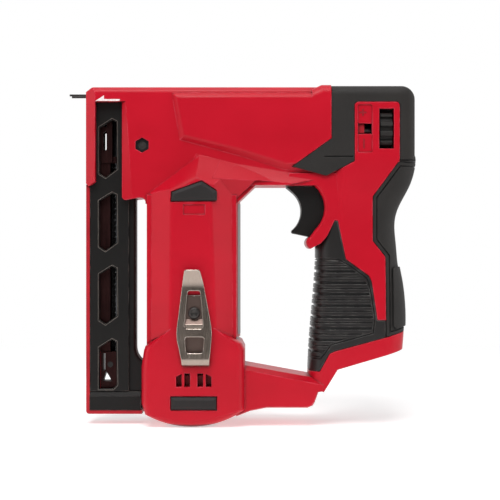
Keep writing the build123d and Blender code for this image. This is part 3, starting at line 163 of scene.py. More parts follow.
# Moulded and overmoulded plastics; "seams" are narrow lands between two covers, boxes in x and z
plastics = {
    "shellRed": {"tone": ink(192, 11, 36), "deep": ink(181, 9, 32), "wornAndLit": ink(234, 92, 112), "rubAndSheen": 0.7,
                 "shade": ink(110, 4, 14), "reach": 2.5 * mm, "ease": 0.9 * mm, "gloss": 0.24, "rough": 0.36,
                 "grain": 1900, "depth": 0.02 * mm, "seamTone": ink(32, 28, 27), "seamEdge": 0.1,
                 "seams": [(197.2, 212.0, -43.6, -41.5), (206.6, 212.0, -43.6, -34.0),
                           (187.6, 190.2, -152.2, -142.7)]},
    "coverGrey": {"tone": ink(43, 40, 38), "deep": ink(35, 33, 32), "wornAndLit": ink(84, 82, 79), "rubAndSheen": 0.4,
                  "shade": ink(9, 8, 8), "reach": 3 * mm, "ease": 0.6 * mm, "gloss": 0.28, "rough": 0.62,
                  "grain": 1100, "depth": 0.05 * mm},
    "gripBlack": {"tone": ink(32, 29, 29), "deep": ink(26, 24, 23), "wornAndLit": ink(128, 124, 120), "rubAndSheen": 0.6,
                  "shade": ink(9, 8, 8), "reach": 3 * mm, "ease": 0.8 * mm, "gloss": 0.42, "rough": 0.38,
                  "grain": 1300, "depth": 0.03 * mm},
    "padBlack": {"tone": ink(42, 39, 38), "deep": ink(35, 32, 32), "wornAndLit": ink(76, 74, 73), "rubAndSheen": 0.4,
                 "shade": ink(9, 8, 8), "reach": 3 * mm, "ease": 0.5 * mm, "gloss": 0.28, "rough": 0.6,
                 "grain": 1400, "depth": 0.04 * mm},
    "nylonBlack": {"tone": ink(22, 20, 19), "deep": ink(17, 16, 15), "wornAndLit": ink(128, 122, 115), "rubAndSheen": 0.75,
                   "shade": ink(9, 8, 8), "reach": 3 * mm, "ease": 0.5 * mm, "gloss": 0.25, "rough": 0.46,
                   "grain": 2200, "depth": 0.015 * mm},
    "railRed": {"tone": ink(186, 28, 42), "deep": ink(160, 20, 34), "wornAndLit": ink(205, 50, 62), "rubAndSheen": 0.4,
                "shade": ink(90, 8, 16), "reach": 2 * mm, "ease": 0.4 * mm, "gloss": 0.3, "rough": 0.45,
                "grain": 2000, "depth": 0.015 * mm}}

# What they share: scales of the noises, weight of each one, what each adds to the roughness
mouldedSkin = {"cloud": 28, "flow": 9, "flowRun": (1, 1, 5), "cloudShare": 0.6, "toneSpan": (0.35, 0.65),
               "wearAndSheen": 160, "wearAndSheenSpan": (0.4, 0.62), "paintedShade": 0.95, "fine": 0.45, "grainShare": 0.7,
               "fineRough": 0.16, "cloudRough": 0.1, "rubSmooth": 0.06, "index": 1.47}


def mouldedPlastic(name, look):
    finish = Finish(name)
    skin = mouldedSkin
    cloud = finish.noise(skin["cloud"], 4)
    flow = finish.noise(skin["flow"], 2, vector=finish.stretch(skin["flowRun"]))
    blotch = cloud * skin["cloudShare"] + flow * (1 - skin["cloudShare"])
    body = finish.mix(finish.span(blotch, *skin["toneSpan"]), look["deep"], look["tone"])
    hollow = finish.hollows(look["reach"])
    edge = finish.edges(look["ease"])
    rubAndSheen = edge * finish.span(finish.noise(skin["wearAndSheen"], 4), *skin["wearAndSheenSpan"]) * (1 - hollow)
    # painted shade: grooves, creases and corners darkened towards the shade colour
    body = finish.mix(hollow * skin["paintedShade"], body, look["shade"])
    # painted highlight with wear: edges lightened towards the worn colour, broken up by noise
    colour = finish.mix(rubAndSheen * look["rubAndSheen"], body, look["wornAndLit"])
    for left, right, low, high in look.get("seams", []):
        inside = 1.0
        soft = look["seamEdge"]
        for axis, start, end in ((0, left, right), (2, low, high)):
            level = finish.measure(axis)
            inside = inside * finish.span(level, (start - soft) * mm, (start + soft) * mm)
            inside = inside * finish.span(level, (end + soft) * mm, (end - soft) * mm)
        colour = finish.mix(inside, colour, look["seamTone"])
    grain = finish.cells(look["grain"])
    fine = finish.noise(look["grain"] * skin["fine"])
    rough = (look["rough"] + (fine - 0.5) * skin["fineRough"] + (cloud - 0.5) * skin["cloudRough"]
             - rubAndSheen * skin["rubSmooth"])
    height = grain * skin["grainShare"] + fine * (1 - skin["grainShare"])
    normal = finish.bump(height, look["depth"], finish.rounded(look["ease"]))
    return finish.close({"Base Color": colour, "Roughness": rough, "Normal": normal, "IOR": skin["index"],
                         "Specular IOR Level": look["gloss"]})


for name, look in plastics.items():
    finishes[name] = mouldedPlastic(name, look)


# Metals; "under" is painted shade on the leaf behind, darker and duller from a level in y on
metals = {
    "clipNickel": {"tone": ink(176, 162, 151), "deep": ink(146, 133, 123), "wornAndLit": ink(236, 226, 216),
                   "rubAndSheen": 0.75, "rough": 0.22, "brush": (2400, 2400, 40), "ease": 0.6 * mm,
                   "depth": 0.006 * mm, "under": ink(104, 88, 82), "underFrom": -29.2 * mm,
                   "underFade": 0.4 * mm, "underRough": 0.22},
    "brightSteel": {"tone": ink(150, 150, 152), "deep": ink(112, 112, 115), "rough": 0.32,
                    "brush": (900, 900, 900), "ease": 0.2 * mm, "depth": 0.004 * mm},
    "darkSteel": {"tone": ink(90, 87, 85), "deep": ink(60, 58, 57), "rough": 0.45,
                  "brush": (700, 700, 700), "ease": 0.25 * mm, "depth": 0.008 * mm},
    "blackSteel": {"tone": ink(66, 64, 64), "deep": ink(44, 43, 43), "rough": 0.42,
                   "brush": (600, 600, 600), "ease": 0.25 * mm, "depth": 0.01 * mm},
    # maroon tint on the dark steel: painted reflection of the red strip beside it
    "darkRailRedReflection": {"tone": ink(58, 36, 35), "deep": ink(34, 20, 20), "rough": 0.5,
                  "brush": (800, 800, 60), "ease": 0.25 * mm, "depth": 0.006 * mm},
    "castMetal": {"tone": ink(176, 176, 180), "deep": ink(140, 140, 145), "rough": 0.5,
                  "brush": (500, 500, 500), "ease": 0.5 * mm, "depth": 0.03 * mm},
    "turnedBrass": {"tone": ink(201, 166, 92), "deep": ink(160, 126, 62), "rough": 0.3,
                    "brush": (900, 900, 900), "ease": 0.2 * mm, "depth": 0.004 * mm}}
workedSkin = {"stain": 60, "lineRough": 0.65, "lineShare": 0.6, "toneSpan": (0.3, 0.7), "lineDull": 0.25,
              "stainDull": 0.12, "rubAndSheen": 0.35}


def workedMetal(name, look):
    finish = Finish(name)
    skin = workedSkin
    lines = finish.noise(1, 5, skin["lineRough"], finish.stretch(look["brush"]))
    stain = finish.noise(skin["stain"], 4)
    rubAndSheen = finish.edges(look["ease"])
    blotch = lines * skin["lineShare"] + stain * (1 - skin["lineShare"])
    body = finish.mix(finish.span(blotch, *skin["toneSpan"]), look["deep"], look["tone"])
    rough = look["rough"] + (lines - 0.5) * skin["lineDull"] + (stain - 0.5) * skin["stainDull"]
    # painted shade: the back leaf, in the outer leaf's shadow, is darker from a level in y on
    if "under" in look:
        behind = finish.span(finish.measure(1), look["underFrom"], look["underFrom"] + look["underFade"])
        body = finish.mix(behind, body, look["under"])
        rough = rough + behind * look["underRough"]
    # painted highlight with wear: edges lightened towards the worn colour
    colour = finish.mix(rubAndSheen * look.get("rubAndSheen", skin["rubAndSheen"]), body, look.get("wornAndLit", look["tone"]))
    normal = finish.bump(lines, look["depth"], finish.rounded(look["ease"]))
    return finish.close({"Base Color": colour, "Roughness": rough, "Metallic": 1.0, "Normal": normal})


for name, look in metals.items():
    finishes[name] = workedMetal(name, look)


# Circuit board with tracks and tinned pads
boardGreen = {"tone": ink(24, 84, 48), "deep": ink(16, 62, 36), "tin": ink(170, 168, 160), "tracks": 300,
              "gap": 0.03, "pads": 420, "padEdge": (0.08, 0.05), "rough": 0.25, "trackRough": 0.1,
              "ease": 0.2 * mm, "depth": 0.01 * mm}


def coatedBoard(name, look):
    finish = Finish(name)
    tracks = finish.add("ShaderNodeTexBrick", {}, {
        "Vector": finish.place(), "Scale": look["tracks"], "Mortar Size": look["gap"]}, "Fac")
    colour = finish.mix(tracks, look["tone"], look["deep"])
    colour = finish.mix(finish.span(finish.cells(look["pads"]), *look["padEdge"]), colour, look["tin"])
    rough = look["rough"] + tracks * look["trackRough"]
    normal = finish.bump(tracks, look["depth"], finish.rounded(look["ease"]))
    return finish.close({"Base Color": colour, "Roughness": rough, "Normal": normal})


finishes["coatedBoard"] = coatedBoard("coatedBoard", boardGreen)


# Thin print or foil with a little fleck
films = {
    "plateGrey": {"tone": ink(128, 121, 121), "deep": ink(112, 106, 106)},
    "markWhite": {"tone": ink(243, 232, 231), "deep": ink(226, 208, 207)},
    "shadedSignRed": {"tone": ink(150, 16, 30), "deep": ink(136, 13, 26)},
    # the window rings' grey is a painted highlight for the glint on each window's edge
    "glintGrey": {"tone": ink(104, 97, 90), "deep": ink(80, 74, 69)}}
filmSkin = {"fleck": 700, "toneSpan": (0.35, 0.65), "rough": 0.4, "fleckRough": 0.2, "ease": 0.05 * mm,
            "depth": 0.005 * mm}


def printedFilm(name, look):
    finish = Finish(name)
    skin = filmSkin
    fleck = finish.noise(skin["fleck"], 4)
    colour = finish.mix(finish.span(fleck, *skin["toneSpan"]), look["deep"], look["tone"])
    rough = skin["rough"] + (fleck - 0.5) * skin["fleckRough"]
    normal = finish.bump(fleck, skin["depth"], finish.rounded(skin["ease"]))
    return finish.close({"Base Color": colour, "Roughness": rough, "Normal": normal})


for name, look in films.items():
    finishes[name] = printedFilm(name, look)
print(len(finishes), "finishes mixed")


# Which CAD piece wears which finish
nodeFinish = {
    "shellRed": ["housing_left", "housing_right"],
    "railRed": ["drawer_rail", "power_indicator"],
    "coverGrey": ["head_cover_left", "head_cover_right", "rear_grip_left", "rear_grip_right", "power_wheel"],
    "gripBlack": ["front_grip_left", "front_grip_right"],
    "padBlack": ["upper_bumpers", "lower_bumpers", "striker_bumper"],
    "nylonBlack": ["magazine_body", "trigger", "latch_left", "latch_right", "trigger_switch",
                   "terminal_block", "fan", "end_bell"],
    "clipNickel": ["belt_clip"],
    "brightSteel": ["guide_rod", "driver_blade", "adjuster_screw", "spring_rod",
                    "planet_pins", "lifter_pin", "motor_can", "output_bearing", "lower_bearing"],
    "blackSteel": ["clip_screw", "housing_screws", "nose_nut", "bracket_pin"],
    "darkRailRedReflection": ["staple_rail", "pusher", "end_bracket"],
    "darkSteel": ["staple", "striker", "spring_seat", "sun_gear", "planet_gear_1", "planet_gear_2",
                  "planet_gear_3", "ring_gear", "carrier", "lifter_wheel", "rotor", "nose_bolt",
                  "motor_magnets"],
    "castMetal": ["gearbox_case"],
    "turnedBrass": ["clip_inserts", "battery_contacts"],
    "coatedBoard": ["circuit_board"]}


def dress(obj, name):
    obj.data.materials.clear()
    obj.data.materials.append(finishes[name])


for name, nodes in nodeFinish.items():
    for node in nodes:
        dress(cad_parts[node], name)
print("finishes on", sum(len(nodes) for nodes in nodeFinish.values()), "pieces")


def meshPiece(name, mesh, finish, body, smooth=False):
    bmesh.ops.recalc_face_normals(mesh, faces=mesh.faces)
    data = bpy.data.meshes.new(name)
    mesh.to_mesh(data)
    mesh.free()
    for face in data.polygons:
        face.use_smooth = smooth
    piece = bpy.data.objects.new(name, data)
    bpy.context.collection.objects.link(piece)
    dress(piece, finish)
    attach(piece, body)
    return piece


def joinLoops(mesh, loops):  # quads between each loop of points and the next
    for low, high in zip(loops, loops[1:]):
        for here in range(len(low)):
            follow = (here + 1) % len(low)
            mesh.faces.new((low[here], low[follow], high[follow], high[here]))


# Springs with closed end turns, each in place of its plain wire. For one that is pressed from one end,
# "hold" gives the share of its length meant to stay put. One whose two ends both move is wound in two parts,
# which meet at the turn "cut".
springs = {
    "main_spring": {"body": "frame", "start": (70.0, 0, -22.3), "end": (146.0, 0, -22.3), "radius": 9.0,
                    "wire": 2.6, "turns": 11, "cut": 8, "near": "driver", "far": "power_seat"},
    "trigger_spring": {"body": "frame", "start": (151.0, 0, -72.0), "end": (166.0, 0, -72.0), "radius": 2.2,
                       "wire": 0.7, "turns": 7, "joint": "trigger_pull", "hold": 1.0, "travel": 7.0},
    "pusher_spring": {"body": "drawer", "start": (18.4, 0, -163.0), "end": (18.4, 0, -42.9), "radius": 1.7,
                      "wire": 0.6, "turns": 34, "joint": "pusher_slide", "hold": 0.0, "travel": 95.0},
    "latch_spring": {"body": "drawer", "start": (20.0, -7.0, -194.0), "end": (20.0, 7.0, -194.0),
                     "radius": 2.0, "wire": 0.6, "turns": 7, "cut": 3.5, "near": "latch_left",
                     "far": "latch_right"}}
wireMesh = {"perTurn": 24, "sides": 10}


def springPiece(node, look):
    start, end = Vector(look["start"]) * mm, Vector(look["end"]) * mm
    along = (end - start).normalized()
    side = Vector((0, 1, 0)) if abs(along.y) < 0.5 else Vector((0, 0, 1))
    other = along.cross(side)
    wire, radius, turns = look["wire"] * mm, look["radius"] * mm, look["turns"]
    openLength = (end - start).length - 3 * wire  # left for the open turns

    def height(done):  # along the axis after so many turns
        if done < 1:
            return wire / 2 + done * wire
        if done > turns - 1:
            return wire / 2 + wire + openLength + (done - turns + 1) * wire
        return wire / 2 + wire + openLength * (done - 1) / (turns - 2)

    def wirePart(name, first, last):
        steps = round((last - first) * wireMesh["perTurn"])
        sides = wireMesh["sides"]
        mesh = bmesh.new()
        rings = []
        for step in range(steps + 1):
            done = first + (last - first) * step / steps
            out = side * math.cos(math.tau * done) + other * math.sin(math.tau * done)
            middle = start + along * height(done) + out * radius
            ring = []
            for corner in range(sides):
                spin = math.tau * corner / sides
                rim = (out * math.cos(spin) + along * math.sin(spin)) * wire / 2
                ring.append(mesh.verts.new(middle + rim))
            rings.append(ring)
        joinLoops(mesh, rings)
        mesh.faces.new(list(reversed(rings[0])))
        mesh.faces.new(rings[-1])
        return meshPiece(name, mesh, "brightSteel", look["body"], smooth=True)

    if "cut" not in look:
        piece = wirePart(node + "Wire", 0, turns)
        1 - look["travel"] * mm / (end - start).length
        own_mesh(piece)
        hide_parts(node)
        return
    meet = start + along * height(look["cut"])
    nearPart = wirePart(node + "Near", 0, look["cut"])
    farPart = wirePart(node + "Far", look["cut"], turns)
    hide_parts(node)
    for piece in (nearPart, farPart):  # freed from their parent
        piece.parent = None
    start + along * wire * 2
    meet - along * wire / 2
    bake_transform(nearPart)
    meet + along * wire / 2
    end - along * wire * 2
    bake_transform(farPart)


for node, look in springs.items():
    springPiece(node, look)
print("springs wound")


# Belt clip: one sheet with a stepped back leaf, a rolled foot and a flared lip.
# Its path is in y and z, outlines and holes in x and z
clipSheet = {
    "path": [(-26.6, -126.2), (-26.6, -141.2), (-28.6, -144.8), (-28.6, -148.6), (-26.6, -151.6),
             (-26.6, -169.9), (-32.4, -169.9), (-29.2, -117.6), (-32.5, -110.4)],
    "bends": [1.6, 1.6, 1.6, 1.6, 1.2, 4.2, 18.0], "bendSteps": 14,
    "thick": 1.2, "soft": 0.35, "softSteps": 2,
    "back": [(64.4, -126.2), (61.6, -167.0), (78.6, -167.0), (74.0, -126.2)],
    "right": [(78.7, -166.6), (79.3, -162.0), (80.0, -154.0), (80.2, -149.6), (79.9, -145.6), (78.6, -138.0),
              (74.8, -118.0), (72.8, -110.4)],
    "left": [(63.3, -110.4), (62.1, -118.0), (59.7, -138.0), (58.7, -145.6), (58.4, -149.6), (58.7, -154.0),
             (60.5, -162.0), (61.5, -166.6)],
    "holes": [[(65.3, -123.6), (73.0, -123.6), (74.9, -146.8), (63.1, -146.8)],
              [(63.6, -152.0), (75.5, -152.0), (74.6, -161.8), (64.5, -161.8)]],
    "corner": 1.5, "merge": 1e-4}


def easedLine(points, radii, steps=8):  # corners of a line turned into arcs
    line = []
    for here, point in enumerate(points):
        radius = radii[here]
        if not radius:
            line.append(Vector(point))
            continue
        middle = Vector(point)
        toLast = (Vector(points[here - 1]) - middle).normalized()
        toNext = (Vector(points[(here + 1) % len(points)]) - middle).normalized()
        half = toLast.angle(toNext) / 2
        centre = middle + (toLast + toNext).normalized() * radius / math.sin(half)
        first = middle + toLast * radius / math.tan(half) - centre
        last = middle + toNext * radius / math.tan(half) - centre
        for step in range(steps + 1):
            line.append(centre + first.slerp(last, step / steps) * radius)
    return line


def clipPiece():
    look = clipSheet
    path = easedLine(look["path"], [0] + look["bends"] + [0], look["bendSteps"])
    places = [0.0]
    for here, follow in zip(path, path[1:]):
        places.append(places[-1] + (follow - here).length)
    foot = min(range(len(path)), key=lambda index: path[index].y)  # lowest point of the rolled foot

    def placeOf(z, front):  # length along the sheet at a height
        leaf = range(foot, len(path) - 1) if front else range(foot)
        for index in leaf:
            low, high = sorted((path[index].y, path[index + 1].y))
            if low <= z <= high:
                share = (z - path[index].y) / (path[index + 1].y - path[index].y)
                return places[index] + share * (places[index + 1] - places[index])
        return places[-1] if front else 0.0

    back = [(x, placeOf(z, False)) for x, z in look["back"]]
    right = [(x, placeOf(z, True)) for x, z in look["right"]]
    left = [(x, placeOf(z, True)) for x, z in look["left"]]
    rim = back[2:] + back[:2] + left[::-1] + right[::-1]
    ease = [0 if 0 < place < places[-1] else look["corner"] for x, place in rim]
    outlines = [easedLine(rim, ease)]
    for hole in look["holes"]:
        outlines.append(easedLine([(x, placeOf(z, True)) for x, z in hole], [look["corner"]] * 4))
    sheet = bpy.data.curves.new("clipSheet", "CURVE")
    sheet.dimensions = "2D"
    sheet.fill_mode = "BOTH"
    sheet.extrude = look["thick"] / 2 - look["soft"]
    sheet.bevel_depth = look["soft"]
    sheet.bevel_resolution = look["softSteps"]
    sheet.offset = -look["soft"]
    for outline in outlines:
        spline = sheet.splines.new("POLY")
        spline.points.add(len(outline) - 1)
        spline.use_cyclic_u = True
        for point, (x, place) in zip(spline.points, outline):
            point.co = (x, place, 0, 1)
    blank = bpy.data.objects.new("clipBlank", sheet)
    bpy.context.collection.objects.link(blank)
    flat = bpy.data.meshes.new_from_object(blank.evaluated_get(bpy.context.evaluated_depsgraph_get()))
    bpy.data.objects.remove(blank)
    mesh = bmesh.new()
    mesh.from_mesh(flat)
    bmesh.ops.remove_doubles(mesh, verts=mesh.verts, dist=look["merge"])
    for place in places[1:-1]:  # a cut at each bend line
        bmesh.ops.bisect_plane(mesh, geom=mesh.verts[:] + mesh.edges[:] + mesh.faces[:],
                               plane_co=(0, place, 0), plane_no=(0, 1, 0))
    for vert in mesh.verts:  # the flat sheet laid along its path
        x, place, level = vert.co
        index = max(0, min(len(path) - 2, sum(1 for known in places if known <= place) - 1))
        share = (place - places[index]) / (places[index + 1] - places[index])
        turns = []
        for corner in (index, index + 1):
            way = path[min(corner + 1, len(path) - 1)] - path[max(corner - 1, 0)]
            turns.append(Vector((-way.y, way.x)).normalized())
        across = turns[0].lerp(turns[1], share).normalized()
        spot = path[index].lerp(path[index + 1], share) + across * level
        vert.co = Vector((x, spot.x, spot.y)) * mm
    piece = meshPiece("clipSheet", mesh, "clipNickel", "frame")
    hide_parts("belt_clip")


clipPiece()
print("belt clip folded")


# Webs that carry the tent's slope on into the ridge under the beam, on the left side, as the right one has
# a screw there: the slope and what is under it, with the same corners again at "inner" inside the shell
ridgeWebs = {
    "slope": [(84.9, -15.0, -41.6), (118.5, -15.0, -50.94), (80.1, -23.67, -53.6), (118.5, -17.97, -55.5)],
    "under": [(80.1, -23.67, -53.6), (107.0, -19.68, -54.93), (95.2, -15.3, -66.0)],
    "inner": -12.0}


def webPiece():
    look = ridgeWebs
    mesh = bmesh.new()
    for outer in (look["slope"], look["under"]):
        spots = outer + [(x, look["inner"], z) for x, y, z in outer]
        corners = [mesh.verts.new(Vector(spot) * mm) for spot in spots]
        bmesh.ops.convex_hull(mesh, input=corners)
    meshPiece("ridgeWebs", mesh, "shellRed", "frame")


webPiece()
print("webs laid")


# Screws with a hexagon socket, in place of their plain heads; spots in x and z, levels along y, heads
# towards "side"
screws = {
    "clip_screw": {"spots": [(69.2, -137.2)], "side": -1, "base": 27.2, "head": 3.8, "high": 2.4,
                   "socket": 3.6, "shank": 2.0, "reach": 6.4, "slot": "dark_steel", "finish": "darkSteel"},
    "housing_screws": {"spots": [(36.4, -55.5), (104.0, -49.5), (190.0, -50.0), (46.0, -197.5),
                                 (91.0, -195.5), (141.5, -186.0), (181.5, -99.0)],
                       "side": 1, "base": 6.0, "head": 3.3, "high": 2.6, "socket": 2.5, "shank": 1.6,
                       "reach": 16.0, "slot": "dark_steel", "finish": "blackSteel"}}

# What they share; "dome" gives shares of the head's radius and height, "middle" is a point once merged
screwForm = {"tipIn": 0.4, "tipHigh": 0.6, "brim": 0.2, "dome": [(1, 0.45), (0.93, 0.72), (0.82, 0.92)],
             "land": 0.5, "ease": 0.25, "deep": 1.5, "deepest": 1.9, "middle": 0.001, "count": 36,
             "merge": 2e-6}


def screwPiece(node, look):
    form = screwForm
    head, high, shank, tip = look["head"], look["high"], look["shank"], -look["reach"]
    sixth = math.pi / 3
    socket = look["socket"] / 2 / math.cos(sixth / 2)  # corner radius of the hexagon
    roundRings = [(form["middle"], tip), (shank - form["tipIn"], tip), (shank, form["tipHigh"] + tip),
                  (shank, 0), (head - form["brim"], 0), (head, form["brim"])]
    roundRings += [(head * wide, high * tall) for wide, tall in form["dome"]]
    roundRings.append((socket + form["land"], high))
    sixRings = [(socket + form["ease"], high), (socket, high - form["ease"]), (socket, high - form["deep"]),
                (form["middle"], high - form["deepest"])]
    mesh = bmesh.new()
    for x, z in look["spots"]:
        loops = []
        for radius, level in roundRings + sixRings:
            loop = []
            for step in range(form["count"]):
                angle = math.tau * step / form["count"]
                reach = radius
                if len(loops) >= len(roundRings):  # in the socket
                    reach *= math.cos(sixth / 2) / math.cos(angle % sixth - sixth / 2)
                spot = (x + reach * math.cos(angle), look["side"] * (look["base"] + level),
                        z + reach * math.sin(angle))
                loop.append(mesh.verts.new(Vector(spot) * mm))
            loops.append(loop)
        joinLoops(mesh, loops)
    bmesh.ops.remove_doubles(mesh, verts=mesh.verts, dist=form["merge"])
    piece = meshPiece(node + "Heads", mesh, look["finish"], "frame")
    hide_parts(node)


for node, look in screws.items():
    screwPiece(node, look)
print("screws set")


# Printed arrow and moulded signs on the left side, outlines in x and z. The moulded signs are drawn in a
# darker red than the shell: painted shade for the shading that shows them
signs = {
    "noseArrow": {"outline": [(6.5, -4.7), (12.0, -1.1), (12.0, -3.5), (21.9, -3.5), (21.9, -4.7)],
                  "level": -15.0, "rise": 0.06, "finish": "markWhite", "slot": "clip_steel"},
    "plusSign": {"outline": [(172.3, -11.7), (174.0, -11.7), (174.0, -10.0), (174.9, -10.0), (174.9, -11.7),
                             (176.6, -11.7), (176.6, -12.6), (174.9, -12.6), (174.9, -14.3), (174.0, -14.3),
                             (174.0, -12.6), (172.3, -12.6)],
                 "level": -17.4, "rise": 0.2, "finish": "shadedSignRed", "slot": "drawer_red"},
    "minusSign": {"outline": [(174.6, -28.6), (175.5, -28.6), (175.5, -34.6), (174.6, -34.6)],
                  "level": -17.4, "rise": 0.2, "finish": "shadedSignRed", "slot": "drawer_red"}}


def signPiece(name, look):
    mesh = bmesh.new()
    top = look["level"] - look["rise"]
    outer = [mesh.verts.new((x * mm, top * mm, z * mm)) for x, z in look["outline"]]
    inner = [mesh.verts.new((x * mm, look["level"] * mm, z * mm)) for x, z in look["outline"]]
    mesh.faces.new(outer)
    mesh.faces.new(list(reversed(inner)))
    joinLoops(mesh, [inner, outer])
    meshPiece(name, mesh, look["finish"], "frame")


for name, look in signs.items():
    signPiece(name, look)


# Fine light-grey ring round each magazine window on both sides, a painted highlight for the glint on the
# window's edge; outline in x and in z below the window's top
windowGlintRings = {
    "tops": [-16.0, -62.4, -108.8], "lowTop": -155.2, "level": 9.0, "rise": 0.1, "gap": 0.7, "wide": 0.3,
    "outline": [(8.5, -4.9), (16.4, 0), (18.9, -1.2), (19.3, -31.0), (12.2, -36.2), (8.5, -33.8)],
    "lowOutline": [(8.5, -4.9), (16.4, 0), (18.9, -1.2), (19.3, -28.4), (17.0, -30.8), (8.5, -30.8)]}


def grown(points, reach):  # outline moved outwards, its points running clockwise
    moved = []
    for here, point in enumerate(points):
        middle = Vector(point)
        toLast = (Vector(points[here - 1]) - middle).normalized()
        toNext = (Vector(points[(here + 1) % len(points)]) - middle).normalized()
        way = -(toLast + toNext).normalized()
        moved.append(middle + way * reach / math.sin(toLast.angle(toNext) / 2))
    return moved


def glintRingPiece():
    look = windowGlintRings
    mesh = bmesh.new()
    windows = [(top, look["outline"]) for top in look["tops"]] + [(look["lowTop"], look["lowOutline"])]
    inner, outer = look["gap"], look["gap"] + look["wide"]
    for top, outline in windows:
        for side in (-1, 1):
            loops = []
            for reach, rise in ((inner, 0), (inner, 1), (outer, 1), (outer, 0)):
                level = side * (look["level"] + rise * look["rise"])
                spots = [Vector((x, level, top + z)) for x, z in grown(outline, reach)]
                loops.append([mesh.verts.new(spot * mm) for spot in spots])
            joinLoops(mesh, loops + loops[:1])
    meshPiece("windowGlintRings", mesh, "glintGrey", "frame")


glintRingPiece()


# Bare plate on the crowned rear of the column
rearPlate = {"rear": 95.2, "crown": 2.3, "land": 14.0, "half": 11.6, "low": -151.4, "high": -69.2,
             "corner": 2.0, "cornerSteps": 4, "halfStrips": 11, "thick": 0.15}


def platePiece():
    look = rearPlate
    bow = (look["land"] ** 2 + look["crown"] ** 2) / (2 * look["crown"])  # radius of the crown
    middle = look["rear"] + look["crown"] - bow
    mesh = bmesh.new()
    outline = []
    for cy, cz, turn in ((1, 1, 0), (-1, 1, 90), (-1, -1, 180), (1, -1, 270)):
        y = cy * (look["half"] - look["corner"])
        z = (look["high"] if cz > 0 else look["low"]) - cz * look["corner"]
        for step in range(look["cornerSteps"] + 1):
            angle = math.radians(turn + 90 * step / look["cornerSteps"])
            outline.append((y + look["corner"] * math.cos(angle), z + look["corner"] * math.sin(angle)))
    mesh.faces.new([mesh.verts.new((0, y, z)) for y, z in outline])
    strips = look["halfStrips"]
    for step in range(1 - strips, strips):  # cut into strips that can follow the crown
        bmesh.ops.bisect_plane(mesh, geom=mesh.verts[:] + mesh.edges[:] + mesh.faces[:],
                               plane_co=(0, step * look["half"] / strips, 0), plane_no=(0, 1, 0))
    raised = bmesh.ops.extrude_face_region(mesh, geom=mesh.faces[:])["geom"]
    lifted = {vert for vert in raised if isinstance(vert, bmesh.types.BMVert)}
    for vert in mesh.verts:
        y, z = vert.co.y, vert.co.z
        x = middle + math.sqrt(bow ** 2 - y ** 2) + (look["thick"] if vert in lifted else 0)
        vert.co = Vector((x, y, z)) * mm
    meshPiece("rearPlate", mesh, "plateGrey", "frame")


platePiece()
print("signs, lips and plate laid")


# Studio: pale floor, soft light, camera square to the side. The floor's spans are metres from its middle,
# the air's span is the y of the way looked
studio = {"aim": (0.1, 0, -0.1), "floor": -208.7 * mm, "floorSize": 12, "white": (1, 1, 1, 1),
          "card": [(0.79, 0.79, 0.79, 1), (0.81, 0.81, 0.81, 1)], "speck": 400, "sheet": 0.5, "table": 0.52,
          "tableSpan": (0.25, 0.5), "paperSpan": (0.3, 0.75), "behindSpan": (0, 0.2), "air": 0.18,
          "airSpan": (-0.1, 0.3), "eye": (103.7 * mm, -800 * mm, -98.3 * mm), "lens": 90, "sensor": 36,
          "nearest": 0.01}


def seenWhite(finish):  # camera rays, then mirror and glass rays
    camera = finish.add("ShaderNodeLightPath", out="Is Camera Ray")
    glossy = finish.add("ShaderNodeLightPath", out="Is Glossy Ray")
    clear = finish.add("ShaderNodeLightPath", out="Is Transmission Ray")
    return camera, finish.larger(glossy, clear)


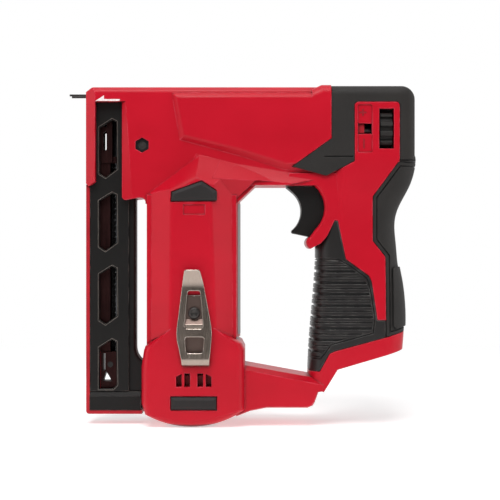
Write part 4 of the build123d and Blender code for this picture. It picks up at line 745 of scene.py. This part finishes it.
def floorFinish():  # a lit table under the part that runs out into white paper
    finish = Finish("paleFloor")
    camera, mirrored = seenWhite(finish)
    place = finish.place()
    behind = finish.span(finish.measure(1, place), *studio["behindSpan"])
    away = finish.add("ShaderNodeVectorMath", {"operation": "DISTANCE"}, {0: place, 1: (0, 0, 0)}, "Value")
    seen = finish.larger(camera, mirrored * behind)
    colour = finish.mix(finish.noise(studio["speck"]), *studio["card"])
    matt = finish.add("ShaderNodeBsdfDiffuse", {}, {"Color": colour})

    def glow(strength):
        return finish.add("ShaderNodeEmission", {}, {"Color": studio["white"], "Strength": strength})

    shown = finish.add("ShaderNodeAddShader", {}, {0: matt, 1: glow(studio["sheet"])})
    lit = finish.add("ShaderNodeAddShader", {}, {0: matt, 1: glow(studio["table"])})
    edge = finish.span(away, *studio["tableSpan"])
    glowing = finish.add("ShaderNodeMixShader", {}, {0: edge, 1: lit, 2: matt})
    near = finish.add("ShaderNodeMixShader", {}, {0: camera, 1: glowing, 2: shown})
    far = seen * finish.span(away, *studio["paperSpan"])
    surface = finish.add("ShaderNodeMixShader", {}, {0: far, 1: near, 2: glow(1.0)})
    finish.add("ShaderNodeOutputMaterial", {}, {"Surface": surface})
    return finish.material


bpy.ops.mesh.primitive_plane_add(size=studio["floorSize"], location=(studio["aim"][0], 0, studio["floor"]))
floor = bpy.context.object
floor.name = "floor"
floor.data.materials.append(floorFinish())


def studioAir():  # white sheet behind, dimmer room in front
    world = bpy.data.worlds.new("studioAir")
    bpy.context.scene.world = world
    finish = Finish("studioAir", world)
    camera, mirrored = seenWhite(finish)
    behind = finish.measure(1, finish.add("ShaderNodeTexCoord", out="Generated"))
    sheet = finish.larger(camera, mirrored * finish.span(behind, *studio["airSpan"]))

    def shine(strength):
        return finish.add("ShaderNodeBackground", {}, {"Color": studio["white"], "Strength": strength})

    surface = finish.add("ShaderNodeMixShader", {}, {0: sheet, 1: shine(studio["air"]), 2: shine(1.0)})
    finish.add("ShaderNodeOutputWorld", {}, {"Surface": surface})


studioAir()

lamps = {
    "softTop": {"from": (-0.05, -0.85, 1.0), "size": 0.7, "power": 13},
    "softOver": {"from": (0.05, -0.1, 1.1), "size": 0.9, "power": 4.5},
    "softLeft": {"from": (-1.0, -0.25, 0.15), "size": 0.9, "power": 3.5},
    "softRight": {"from": (1.25, -0.25, 0.15), "size": 0.9, "power": 4.5}}


def hangLamp(name, look):
    data = bpy.data.lights.new(name, "AREA")
    data.size = look["size"]
    data.energy = look["power"]
    lamp = bpy.data.objects.new(name, data)
    lamp.location = look["from"]
    aim = Vector(studio["aim"]) - Vector(look["from"])
    lamp.rotation_euler = aim.to_track_quat("-Z", "Y").to_euler()
    bpy.context.collection.objects.link(lamp)


for name, look in lamps.items():
    hangLamp(name, look)

lensData = bpy.data.cameras.new("sideCamera")
lensData.lens = studio["lens"]
lensData.sensor_width = studio["sensor"]
lensData.clip_start = studio["nearest"]
camera = bpy.data.objects.new("sideCamera", lensData)
camera.location = studio["eye"]
camera.rotation_euler = (math.pi / 2, 0, 0)
bpy.context.collection.objects.link(camera)
bpy.context.scene.camera = camera
bpy.context.scene.view_settings.view_transform = "Standard"
print("studio set")
